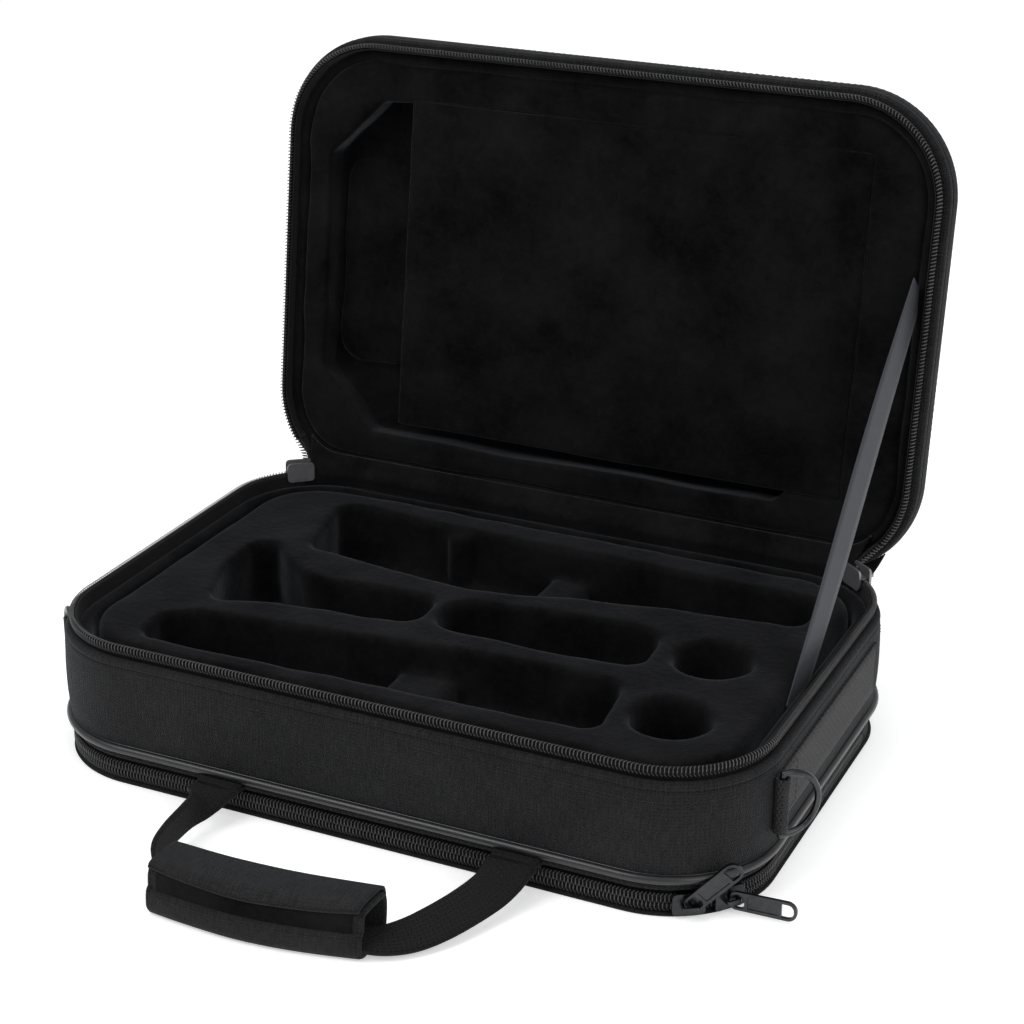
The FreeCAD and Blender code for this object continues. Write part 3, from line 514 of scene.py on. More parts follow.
def stitches(name, centres, tangents, normals, material, length=2.3, width=0.55, rise=0.28):
    """Row of sewn stitches: small raised lozenges along a line."""
    t = np.array([-1, -0.6, 0, 0.6, 1])
    w = np.array([0.25, 0.9, 1.0, 0.9, 0.25])
    h = np.array([-0.2, 0.75, 1.0, 0.75, -0.2])
    side = np.cross(normals, tangents)
    verts, faces, uvs = [], [], []
    for c, tt, nn, ss in zip(centres, tangents, normals, side):
        base = len(verts)
        for a, ww, hh in zip(t, w, h):
            mid = c + tt * (a * length / 2)
            half, sunk = ss * (width / 2 * ww), nn * 0.1
            verts += [mid - half - sunk, mid + nn * (rise * hh), mid + half - sunk]
        for q in range(4):
            for r in range(2):
                near, far = base + q * 3 + r, base + (q + 1) * 3 + r
                faces.append([near, near + 1, far + 1, far])
                uvs += [(q, r), (q, r + 1), (q + 1, r + 1), (q + 1, r)]
    return add_mesh(name, verts, faces, material, uvs)


def stitch_run(name, offset, z, lid=False, seed=3):
    """Stitches all round the wall at one height, which wanders a little."""
    half = half_run(lid)
    s = np.arange(-half, half, STITCH_GAP)
    p, nn = rim_line(s, lid)
    zz = z + smooth_noise(s, 260, seed, 0.15)
    off = offset(s, zz) if callable(offset) else offset
    c = np.column_stack([p + nn * np.reshape(off, (-1, 1)), zz])
    level = np.zeros(len(s))
    nrm = np.column_stack([nn, level])
    tan = np.column_stack([-nn[:, 1], nn[:, 0], level])
    if lid:
        c = to_open(c)
        nrm, tan = turned(nrm), turned(tan)
    return stitches(name, c, tan, nrm, M["seam"])


def softened(name, node, material, voxel, rounds, swell, seed, amount, added=()):
    """Copy of a soft solid with its edges rounded off and an uneven, hand-covered surface."""
    src = nodes[node]
    me = src.data.copy()
    inv = src.matrix_world.inverted()
    bm = bmesh.new()
    bm.from_mesh(me)
    for verts, faces in added:
        new = [bm.verts.new(inv @ Vector((v * MM).tolist())) for v in verts]
        for f in faces:
            bm.faces.new([new[k] for k in f])
    bm.to_mesh(me)
    bm.free()
    ob = bpy.data.objects.new(name, me)
    link(ob)
    ob.matrix_world = src.matrix_world.copy()
    mod = ob.modifiers.new("r", "REMESH")
    mod.mode = "VOXEL"
    mod.voxel_size = voxel * MM
    sm = ob.modifiers.new("s", "SMOOTH")
    sm.factor = 0.5
    sm.iterations = rounds
    new = final(ob).data
    co, nv = np.zeros((2, len(new.vertices) * 3))
    new.vertices.foreach_get("co", co)
    new.vertices.foreach_get("normal", nv)
    co, nv = co.reshape(-1, 3), nv.reshape(-1, 3)
    # Unevenness: waves in all directions, the longer the higher
    waves, shortest, longest = 14, 0.012, 0.06
    r = np.random.default_rng(seed)
    d = np.zeros(len(co))
    for _ in range(waves):
        w = r.normal(size=3)
        w /= np.linalg.norm(w)
        wl = r.uniform(shortest, longest)
        d += np.sin(co @ w * 2 * math.pi / wl + r.uniform(0, 6.28)) * (wl / longest) ** 0.5
    co += nv * ((d / 6 * amount + swell) * MM)[:, None]
    new.vertices.foreach_set("co", co.ravel())
    new.materials.clear()
    new.materials.append(material)
    new.polygons.foreach_set("use_smooth", [True] * len(new.polygons))
    new.update()
    return ob


def put(ob, body, *replaced, slot=None):
    """Gives a piece its body; a piece between two bodies only has its place baked into its mesh. Hides the
    parts it replaces.
    """
    if isinstance(body, str):
        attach(ob, body)
    else:
        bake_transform(ob)
    if replaced:
        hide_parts(*replaced)


# Tray

def bulge(s):
    """How full the wall's padding stands, more on the long walls than on the sides."""
    t = np.abs(s)
    side = CORNER_X + ARC + SIDE_RUN / 2
    near = np.clip(1 - np.abs(t - side) / (SIDE_RUN / 2 + 20), 0, 1)
    return 1.0 - 0.85 * np.clip(near * 3, 0, 1)


def tray_wall():
    low, seam = FLOOR_TOP - 0.1, WALL_TOP - 3.6
    prof = [(1.0, low), (2.6, low), (3.3, low + 0.7), (3.6, low + 2.2), (3.7, low + 6), (3.8, low + 12),
            (3.8, low + 18), (3.8, low + 24), (3.75, low + 30), (3.7, low + 35), (3.6, seam - 1.4),
            (3.45, seam - 0.6), (3.0, seam - 0.15), (3.0, seam + 0.15), (3.5, seam + 0.6), (3.6, seam + 1.6),
            (3.4, WALL_TOP - 1.4), (2.8, WALL_TOP - 0.5), (1.8, WALL_TOP), (0.4, WALL_TOP - 0.1),
            (-0.8, WALL_TOP - 0.6), (-1.5, WALL_TOP - 2), (-1.5, WALL_TOP - 8)]

    def fullness(z):
        return np.sin(np.clip((z - low - 2) / (seam - low - 3), 0, 1) * math.pi) ** 0.8

    def slow_wave(s):
        return smooth_noise(s, 2 * half_run(), 11, 0.22)

    def shift(s, p):
        out = np.zeros_like(p)
        wave = slow_wave(s)[:, None] + smooth_noise(s, 90, 12, 0.06)[:, None]
        out[..., 0] = fullness(p[..., 1]) * (0.9 * bulge(s)[:, None] + wave * bulge(s)[:, None])
        return out

    w = sweep("tray_wall_cloth", prof, M["shell"], 2.5, closed=False, shift=shift)
    thickened(w, 1.2)
    put(w, "tray", "tray_wall", slot="shell_cloth")

    def skin(s, z):
        return 3.72 + fullness(z) * 0.9 * bulge(s) + slow_wave(s) * bulge(s) * fullness(z)

    for k, z in enumerate((WALL_TOP - 8.6, WALL_TOP - 10.2)):
        put(stitch_run("wall_stitches_%d" % k, skin, z, seed=5), "tray", slot="shell_cloth")


def zips():
    rim_end, lid_end = run_to_angle(57.0), run_to_angle(38.0)
    side_end = CORNER_X + ARC + CORNER_Y + 65.0
    rows = (
        ("rim_coil", RIM_MID - COIL_OFF, 0.0, rim_end, False, 1, "tray"),
        ("lid_coil", RIM_MID + COIL_OFF, 0.0, lid_end, True, -1, "lid"),
        ("pocket_coil_upper", POCKET_MID + COIL_OFF, POCKET_LINE, side_end, False, -1, "tray"),
        ("pocket_coil_lower", POCKET_MID - COIL_OFF, POCKET_LINE, side_end, False, 1, "pocket_cover"),
    )
    for name, z, off, end, lid, head, body in rows:
        line = row(z, off, (-end, end), lid, head)
        # Facing rows stand half a pitch apart, so that their teeth mesh
        shift = 0.5 * COIL_PITCH if name in ("lid_coil", "pocket_coil_lower") else 0.0
        first = (end + shift) % COIL_PITCH + COIL_PITCH
        put(coil(name + "_teeth", *line, first), body, name, slot="zip_coil")
        put(coil_stitches(name + "_stitches", *line, first), body, slot="zip_coil")
        # Core cord inside the row, a tall near-black oval: partly real cord, partly painted shade behind and
        # between the teeth
        oval = [(off - 0.1 + 0.8 * math.cos(a), z - head * 0.92 + 1.67 * math.sin(a))
                for a in np.arange(8) * math.pi / 4]
        put(sweep(name + "_cord", oval, M["core"], 4.0, (-end, end), lid), body, slot="zip_coil")
    tapes = (
        ("rim_tape", 0.0, WALL_TOP - 7.9, RIM_MID - 0.8, rim_end, False, "tray"),
        ("lid_tape", 0.0, RIM_MID + 1.5, LID_LOW + 7.9, lid_end, True, "lid"),
        ("pocket_tape_upper", POCKET_LINE, POCKET_MID + 1.6, FLOOR_LOW, side_end, False, "tray"),
        ("pocket_tape_lower", POCKET_LINE, 1.35, POCKET_MID - 1.6, side_end, False, "pocket_cover"),
    )
    for name, off, low, high, end, lid, body in tapes:
        a, b = off - 1.65, off - 2.2
        zs = np.linspace(low, high, 7)
        prof = [(a, z) for z in zs] + [(b, z) for z in zs[::-1]]
        t = sweep(name + "_weave", prof, M["tape"], 3.0, (-end, end), lid)
        put(t, body, name, slot="zip_tape")


def lining():
    """Padded plush border inside the tray wall."""
    top = WALL_TOP - 1.5
    foot = FLOOR_TOP + 0.2
    prof = [(-2.35, foot), (-2.35, top - 2.0), (-2.9, top - 0.7), (-4.2, top), (-6.0, top + 0.1),
            (-7.8, top - 0.5), (-9.2, top - 1.9), (-9.9, top - 4.0), (-10.0, top - 8), (-9.95, top - 16),
            (-9.9, top - 30), (-9.9, foot)]

    def shift(s, p):
        out = np.zeros_like(p)
        h = np.clip((p[..., 1] - FLOOR_TOP) / (top - FLOOR_TOP), 0, 1)
        inner = p[..., 0] < -5
        out[..., 0] = np.where(inner, smooth_noise(s, 400, 21, 0.25)[:, None] * h, 0)
        out[..., 1] = smooth_noise(s, 600, 22, 0.2)[:, None] * h ** 4
        return out

    b = sweep("wall_lining_plush", prof, M["plush"], 3.0, shift=shift)
    put(b, "tray", "wall_lining", slot="plush")


def insert():
    ob = softened("insert_plush", "insert", M["plush"], 1.7, 4, 0.3, 4, 0.6)
    put(ob, "tray", "insert", slot="plush")


def gusset():
    low, seam = GUSSET_LOW, FLOOR_TOP - 0.2
    prof = [(0.2, low), (1.9, low), (2.5, low + 0.4), (2.6, low + 1.6), (2.5, FLOOR_LOW - 0.6),
            (1.9, FLOOR_LOW), (0.9, FLOOR_LOW + 1.8), (0.9, seam), (0.2, seam)]
    put(sweep("gusset_cloth", prof, M["shell"]), "tray", "gusset_strip", slot="shell_cloth")
    put(stitch_run("gusset_stitches", 2.6, low + 1.3, seed=9), "tray", slot="shell_cloth")
    top = FLOOR_TOP + 0.1
    flange = [(1.2, FLOOR_TOP - 1.0), (3.0, FLOOR_TOP - 0.6), (3.4, FLOOR_TOP - 0.3), (3.4, top), (1.2, top)]
    put(sweep("piping_flange", flange, M["vinyl"]), "tray", slot="piping_vinyl")


def pocket():
    """Bottom panel with a padded middle, and the cloth behind its zip that it swings on."""
    edge = POCKET_LINE + 1.6
    half = half_run()
    n = 320
    s = np.linspace(-half, half, n, endpoint=False)
    p, nn = rim_line(s)

    def ring_at(off, z):
        # Within the corners' radius the rings keep their distance; further in they shrink to the middle
        base = p + nn * max(off, -45.0)
        if off < -45:
            base = base * (1 - (-off - 45) / 75.0 * 0.985)
        return np.column_stack([base, np.full(n, z)])

    top = [(-4.9, 1.3), (-5.2, 3.2), (-6.2, 4.2), (-8.0, 4.5), (-44.0, 4.5), (-80, 4.5), (-119.0, 4.5)]
    low = [(edge - 0.25, 1.3), (edge, 0.85), (edge - 0.25, 0.35), (edge - 1.5, 0.05), (-10, 0.0), (-44, 0.0),
           (-80, 0.0), (-119, 0.0)]
    pts = np.stack([ring_at(*r) for r in top[::-1] + low], 1)
    uv = np.zeros((n + 1, pts.shape[1] + 1, 2))
    uv[:n, :-1] = pts[..., :2]
    uv[n] = uv[0]
    ob = grid("pocket_panel_cloth", pts, uv, M["shell"], close_u=True)
    middle_closed(ob)
    put(ob, "pocket_cover", "pocket_panel", slot="shell_cloth")
    side_end = CORNER_X + ARC + CORNER_Y + 65.4
    foot, rise = 1.3, GUSSET_LOW - 1.3
    fold = ("pocket_cover", "tray", (0, 0.1222, 0.0025), (0, 0.1222, 0.0125))
    zs = np.linspace(foot, GUSSET_LOW, 9)
    prof = [(1.6 - 0.25 * math.sin((z - foot) / rise * math.pi), z) for z in zs]
    prof += [(0.9, z) for z in zs[::-1]]
    for name, a, b in (("left", -half, -side_end), ("right", side_end, half)):
        c = sweep("pocket_hinge_cloth_" + name, prof, M["shell"], 4.0, (a, b))
        put(c, fold, "pocket_hinge_cloth", slot="shell_cloth")


# Lid

def lid_shell():
    low, top = LID_LOW, LID_TOP
    face, radius = 4.5, 14.0
    prof = [(-1.5, low + 7.9), (-1.5, low + 2), (-0.8, low + 0.7), (0.5, low + 0.1), (2.3, low),
            (3.6, low + 0.5), (4.25, low + 1.5), (4.4, low + 3.4), (4.3, low + 4.1), (3.8, low + 4.6),
            (3.8, low + 4.9), (4.35, low + 5.4), (4.5, low + 6.4), (4.55, low + 9)]
    prof += [(face - radius + radius * math.cos(a), top - radius + radius * math.sin(a))
             for a in np.radians(np.linspace(0, 90, 11))]

    def shift(s, p):
        out = np.zeros_like(p)
        h = np.clip((p[..., 1] - low - 5) / (top - low - 9), 0, 1)
        out[..., 0] = np.sin(h * math.pi) * (0.25 + smooth_noise(s, 500, 31, 0.15)[:, None])
        return out

    w = sweep("lid_wall_cloth", prof, M["shell"], 2.5, lid=True, closed=False, shift=shift)
    thickened(w, 1.2)
    put(w, "lid", "lid_shell", slot="shell_cloth")
    # Top cloth: rings that shrink from the wall's upper edge to the middle and rise a little
    half = half_run(True)
    n, rings = 260, 18
    p, nn = rim_line(np.linspace(-half, half, n, endpoint=False), True)
    brim = p + nn * (face - radius)
    c = np.array([0.0, (LID_BACK - HALF_D) / 2])
    inward = np.linspace(0, 1, rings)
    flat = c + (brim - c)[:, None, :] * (1 - 0.99 * inward[None, :, None])
    z = top + 1.2 * np.sin(np.minimum(1.0, inward * 1.6) * math.pi / 2)
    pts = np.concatenate([flat, np.broadcast_to(z, (n, rings))[..., None]], -1)
    uv = np.zeros((n + 1, rings + 1, 2))
    uv[:n, :-1] = flat
    uv[n] = uv[0]
    uv[:, -1] = uv[:, -2]
    ob = grid("lid_top_cloth", to_open(pts), uv, M["shell"], close_u=True)
    middle_closed(ob)
    put(ob, "lid", slot="shell_cloth")
    put(stitch_run("lid_rim_stitches", 4.22, low + 3.0, lid=True, seed=41), "lid", slot="shell_cloth")
    for k, (off, z) in enumerate(((4.52, low + 11.4), (4.28, low + 13.0))):
        put(stitch_run("lid_wall_stitches_%d" % k, off, z, lid=True, seed=42), "lid", slot="shell_cloth")
    # Plush inside the wall, behind the liner
    inner = [(-1.5, low + 7.8), (-1.55, low + 12), (-2.2, top - 11), (-4.2, top - 6.5), (-9, top - 4.3),
             (-14, top - 4.1)]
    put(sweep("lid_wall_plush", inner, M["plush"], lid=True, closed=False), "lid", slot="plush")


def slab(edge, low, high):
    """Flat piece of the open lid: corners and faces."""
    n = len(edge)
    verts = to_open(np.vstack([np.column_stack([edge, np.full(n, z)]) for z in (low, high)]))
    faces = [(k, (k + 1) % n, n + (k + 1) % n, n + k) for k in range(n)]
    return verts, faces + [tuple(range(n))[::-1], tuple(range(n, 2 * n))]


def rounded_box(x0, x1, y0, y1, r):
    a = np.radians(np.arange(0, 91, 10))
    arcs = [(x1 - r, y1 - r), (x0 + r, y1 - r), (x0 + r, y0 + r), (x1 - r, y0 + r)]
    turns = [a + q * math.pi / 2 for q in range(4)]
    return np.vstack([np.column_stack([x + r * np.cos(b), y + r * np.sin(b)])
                      for (x, y), b in zip(arcs, turns)])


def lid_liner():
    """Liner with the cloth on the bottom of its well and the raised tile on that."""
    s = np.linspace(-half_run(True), half_run(True), 160, endpoint=False)
    p, nn = rim_line(s, True)
    back = slab(p - nn * 9.6, LID_TOP - 5.4, LID_TOP - 2.4)
    tile = slab(rounded_box(-154.5, -109.0, -57.4, 55.0, 13.0), LINER_FACE + 14.6, LINER_FACE + 20.5)
    ob = softened("lid_liner_plush", "lid_liner", M["plush"], 1.5, 4, 0.25, 6, 1.3, (back, tile))
    put(ob, "lid", "lid_liner", slot="plush")


def lid_border():
    """Soft roll between the lid's wall and the liner."""
    face = LINER_FACE
    prof = [(-2.1, face + 12), (-2.3, face + 4), (-2.5, face + 2.0), (-3.2, face + 0.9), (-4.4, face + 0.4),
            (-5.8, face + 0.7), (-7.0, face + 1.6), (-8.0, face + 3.0), (-9.4, face + 5.0),
            (-10.5, face + 12)]

    def shift(s, p):
        out = np.zeros_like(p)
        out[..., 1] = smooth_noise(s, 300, 71, 0.35)[:, None] * (p[..., 1] < face + 6)
        return out

    b = sweep("lid_border_plush", prof, M["plush"], 3.0, lid=True, shift=shift)
    put(b, "lid", slot="plush")


def lid_flap():
    ob = softened("lid_flap_plush", "lid_flap", M["plush"], 1.2, 2, 0.1, 9, 0.35)
    put(ob, "flap", "lid_flap", slot="plush")


# Cloth across the hinge, and the tape that holds the lid

def bridge(name, material, tray, lid, belly, thick, start_deg, lid_deg, nv=13, wave=0.3, seed=1, swell=None):
    """Cloth between the tray's rim and the open lid's rim, round the back from corner to corner."""
    n = 180
    t = np.linspace(0, 1, n)

    def along(deg, is_lid, off, z):
        half, s0 = half_run(is_lid), run_to_angle(deg)
        s = s0 + t * (2 * half - 2 * s0)
        s = np.where(s > half, s - 2 * half, s)
        p, nn = rim_line(s, is_lid)
        pts = np.column_stack([p + nn * off, np.full(n, z)])
        nrm = np.column_stack([nn, np.zeros(n)])
        return (to_open(pts), turned(nrm)) if is_lid else (pts, nrm)

    a, na = along(start_deg, False, *tray)
    b, nb = along(lid_deg, True, *lid)
    v = np.linspace(0, 1, nv)
    length = lengths((a + b) / 2)
    out = unit(na + 0.4 * nb)
    lobe = 4 * v * (1 - v)
    if swell is not None:
        lobe = lobe * swell(v)
    w = 1 + smooth_noise(length, 230, seed, wave) + smooth_noise(length, 61, seed + 1, wave * 0.4)
    pts = (a[:, None, :] * (1 - v)[None, :, None] + b[:, None, :] * v[None, :, None]
           + out[:, None, :] * (belly * lobe[None, :] * w[:, None])[..., None])
    gap = np.linalg.norm(b - a, axis=1).mean()
    uv = uv_over(np.append(length, length[-1]), np.append(v, 1) * gap)
    ob = thickened(grid(name, pts, uv, material), thick, 1)
    return ob, (length[-1], float(np.linalg.norm(np.diff(pts, axis=1), axis=2).sum(1).mean()))


def hinge():
    outer, size = bridge("hinge_cloth_outer", M["shell"], (3.9, WALL_TOP - 8.0), (4.75, LID_LOW + 7.0),
                         1.0, 0.8, 57, 44, wave=0.2, seed=51)
    put(outer, ("tray", "lid", (0, 0.1245, 0.0625), (0, 0.1272, 0.069)), "hinge_cloth", slot="shell_cloth")
    inner, size = bridge("hinge_lining_plush", M["plush"], (-3.0, WALL_TOP - 2.2), (-7.2, LINER_FACE - 0.2),
                         -4.2, 0.8, 52, 40, nv=21, wave=0.16, seed=52,
                         swell=lambda v: 0.95 + 0.33 * np.sin(v * math.pi * 2.0))
    put(inner, ("tray", "lid", (0, 0.1165, 0.0655), (0, 0.1243, 0.0805)), "hinge_lining", slot="plush")
    for side, name in ((1, "right"), (-1, "left")):
        zip_join(side, name)


def zip_join(side, name):
    """The end of the lid's zip row, bent down into the slider."""
    def end_of(run, lid):
        """Two places about a run, half a millimetre to each side, and the way outwards."""
        p, nn = rim_line(np.array([run - side * 0.5, run + side * 0.5]), lid)
        ends = np.column_stack([p, np.full(2, RIM_MID + COIL_OFF)])
        way = np.column_stack([nn, np.zeros(2)])
        return (*to_open(ends), turned(way)[0]) if lid else (*ends, way[0])

    la, lb, ln = end_of(side * run_to_angle(37.6), True)
    ta, tb, tn = end_of(side * run_to_angle(51.0), False)
    d0, d1 = (lb - la) / np.linalg.norm(lb - la), (ta - tb) / np.linalg.norm(ta - tb)
    span = np.linalg.norm(ta - la)
    places = 60
    line = bezier(la, la + d0 * span * 0.4, ta - d1 * span * 0.35, ta, places)
    k = np.linspace(0, 1, places)[:, None]
    nrm = unit(ln * (1 - k) + tn * k)
    head = unit(np.cross(nrm, unit(np.gradient(line, axis=0))))
    if head[0] @ turned([[0, 0, -1.0]])[0] < 0:
        head = -head
    fold = ("tray", "lid", tuple(ta * MM), tuple(la * MM))
    put(coil("zip_end_teeth_" + name, line, nrm, head), fold, slot="zip_coil")
    tape = ribbon("zip_end_tape_" + name, line - head * 4.2 - nrm * 1.4, head, 6.5, 0.7, M["tape"])
    put(tape, fold, slot="zip_tape")


def ribbon(name, points, across, width, thick, material):
    """Flat band along points, with its own width direction at each."""
    c = np.asarray(points, float)
    a = np.asarray(across, float)
    tan = unit(np.gradient(c, axis=0))
    a = unit(a - tan * np.sum(a * tan, 1)[:, None])
    n = np.cross(tan, a)
    w = np.broadcast_to(np.asarray(width, float), (len(c),))[:, None]
    th = thick / 2
    prof = [(-0.5, -1), (-0.3, -1), (0, -1), (0.3, -1), (0.5, -1), (0.508, 0),
            (0.5, 1), (0.3, 1), (0, 1), (-0.3, 1), (-0.5, 1), (-0.508, 0)]
    pts = np.stack([c + a * (w * u) + n * (th * v) for u, v in prof], 1)
    d = lengths(c)
    vv = np.array([u for u, _ in prof] + [prof[0][0]])
    uv = np.zeros((len(c) + 1, len(prof) + 1, 2))
    uv[..., 0] = np.append(d, d[-1])[:, None]
    uv[..., 1] = vv[None, :] * float(np.mean(width))
    return grid(name, pts, uv, material, close_v=True, caps=True)


def bezier(p0, p1, p2, p3, n):
    t = np.linspace(0, 1, n)[:, None]
    p0, p1, p2, p3 = (np.array(p, float) for p in (p0, p1, p2, p3))
    return (1 - t) ** 3 * p0 + 3 * (1 - t) ** 2 * t * p1 + 3 * (1 - t) * t * t * p2 + t ** 3 * p3


def stay():
    low = np.array([169.2, -14.0, 55.0])
    top = to_open([[172.6, LID_BACK - 0.62 * (HALF_D + LID_BACK), LINER_FACE - 0.3]])[0]
    t = np.linspace(0, 1, 70)[:, None]
    pts = low + (top - low) * t
    pts[:, 0] += 0.35 * np.sin(t[:, 0] * math.pi * 2.2)
    pts[:, 2] -= 0.9 * np.sin(t[:, 0] * math.pi)
    length, width = float(np.linalg.norm(top - low)), 19.6
    across = np.cross([1.0, 0, 0], (top - low) / length)
    ac = across - np.array([1.0, 0, 0]) * (0.06 + 0.14 * np.sin(t * math.pi))
    ob = ribbon("stay_tape", pts, ac, width, 0.5, M["satin"])
    put(ob, ("tray", "lid", tuple(low * MM), tuple(top * MM)), "stay_strap", slot="satin_tape")


# Side webbing

def side_straps():
    wall = HALF_W + WALL_FACE
    width, thick = 26.6, 1.5
    # The ring's axis stands at ax, ay; the webbing loops round it
    ax, ay, mid, loop = wall + 3.4, -79.0, 44.5, 2.68
    for sign, name in ((1, "right"), (-1, "left")):
        pts = [(wall + 0.85, y) for y in np.linspace(69, ay + 4.5, 60)]
        pts += [(ax - loop * math.cos(a), ay - loop * math.sin(a))
                for a in np.radians(np.linspace(0, 258, 22))]
        pts += [(ax - 0.7, ay + 3.2), (wall + 2.0, ay + 4.6)]
        c = np.array([(sign * x, y, mid) for x, y in pts])
        # The side straps take the lighter copy of the webbing: painted light for the grazing light on the
        # sides
        ob = ribbon("side_webbing_" + name, c, np.array([[0, 0, 1.0]] * len(c)), width, thick, M["lit_webbing"])
        put(ob, "tray", "side_strap_" + name, slot="webbing")
        # Box of stitches behind the ring: two upright rows, then two level ones
        spots = [(y, z, (0, 0, 1.0)) for z in np.arange(mid - 10.5, mid + 10.6, 3.2)
                 for y in (ay + 9, ay + 26)]
        spots += [(y, z, (0, 1.0, 0)) for y in np.arange(ay + 10.5, ay + 25.5, 3.2)
                  for z in (mid - 11, mid + 11)]
        cen = np.array([(sign * (wall + 1.68), y, z) for y, z, _ in spots])
        way = np.array([t for _, _, t in spots])
        nor = np.tile([float(sign), 0, 0], (len(cen), 1))
        put(stitches("side_webbing_stitches_" + name, cen, way, nor, M["seam"]), "tray", slot="webbing")


# Handle

def spline(points, n):
    """Smooth curve through points, n places long; works on any number of columns."""
    p = np.asarray(points, float)
    p = np.vstack([2 * p[0] - p[1], p, 2 * p[-1] - p[-2]])
    k = len(p) - 3
    u = np.linspace(0, k, n)
    i = np.minimum(u.astype(int), k - 1)
    t = (u - i)[:, None]
    a, b, c, d = (p[i + k] for k in range(4))
    return 0.5 * (2 * b + (c - a) * t + (2 * a - 5 * b + 4 * c - d) * t ** 2
                  + (3 * b - a - 3 * c + d) * t ** 3)


def handle():
    hy, hz = -130.1, 14.3
    # Places of the webbing's middle, how far it is turned on edge, and its width
    route = [(-73.5, hy, hz, 2, 23.0), (-73.4, -137, 14.2, 7, 20.0), (-73.0, -142.5, 14.0, 40, 16.0),
             (-73.0, -150, 13.7, 84, 15.5), (-73.0, -160, 13.2, 96, 16.5), (-72.0, -176, 12.4, 97, 17.0),
             (-68.5, -190, 11.4, 92, 16.5), (-60, -199.5, 10.8, 80, 15.5), (-45, -204.5, 10.5, 62, 15.5),
             (-5, -206.5, 9, 40, 16.5), (30, -203, 6.5, 4, 17), (45, -199, 5.6, -6, 17),
             (53, -195.5, 5.9, -16, 16.5), (61, -189, 7.2, -30, 16.5), (68.5, -180, 9.6, -42, 17),
             (75.0, -168, 11.8, -48, 17.5), (79.5, -154, 13.2, -44, 18.5), (80.6, -144, 13.9, -24, 20),
             (80.4, -137.5, 14.2, -7, 22), (80.0, hy, hz, -2, 24.0)]
    c = spline(route, 190)
    pts, cant = c[:, :3], np.radians(c[:, 3])
    tan = unit(np.gradient(pts, axis=0))
    sd = unit(np.column_stack([tan[:, 1], -tan[:, 0], np.zeros(len(c))]))
    ac = sd * np.cos(cant)[:, None] + np.cross(sd, tan) * np.sin(cant)[:, None]
    ob = ribbon("handle_webbing", pts, ac, c[:, 4], 1.9, M["webbing"])
    put(ob, "handle", "handle_strap", slot="webbing")
    wall = -HALF_D - 2.6
    for root, name in ((-73.5, "left"), (80.0, "right")):
        for k, (dz, wide) in enumerate(((0.0, 24.6), (1.9, 23.6))):
            c = np.array([(root, wall + 0.3, hz + 0.4 + dz), (root, wall - 1.5, hz + 0.3 + dz),
                          (root, wall - 3.5, hz + 0.1 + dz * 0.8), (root, wall - 5.2, hz + dz * 0.5)])
            widths = wide - np.array([0, 0.3, 1.4, 3.0])
            across = np.array([[1.0, 0, 0]] * 4)
            ob = ribbon("handle_root_%s_%d" % (name, k), c, across, widths, 1.8, M["webbing"])
            put(ob, "tray", *(["handle_tab_" + name] if k == 0 else []), slot="webbing")
    grip(-201.0, -55.0, 45.0)


def loop_points(corners, per, rounds):
    """Closed outline, evenly filled between corners and softened."""
    o = np.vstack([corners, corners[:1]])
    u = np.linspace(0, len(corners), len(corners) * per, endpoint=False)
    q = np.column_stack([np.interp(u, np.arange(len(o)), o[:, k]) for k in range(2)])
    for _ in range(rounds):
        q = (np.roll(q, 1, 0) + 2 * q + np.roll(q, -1, 0)) / 4
    return q


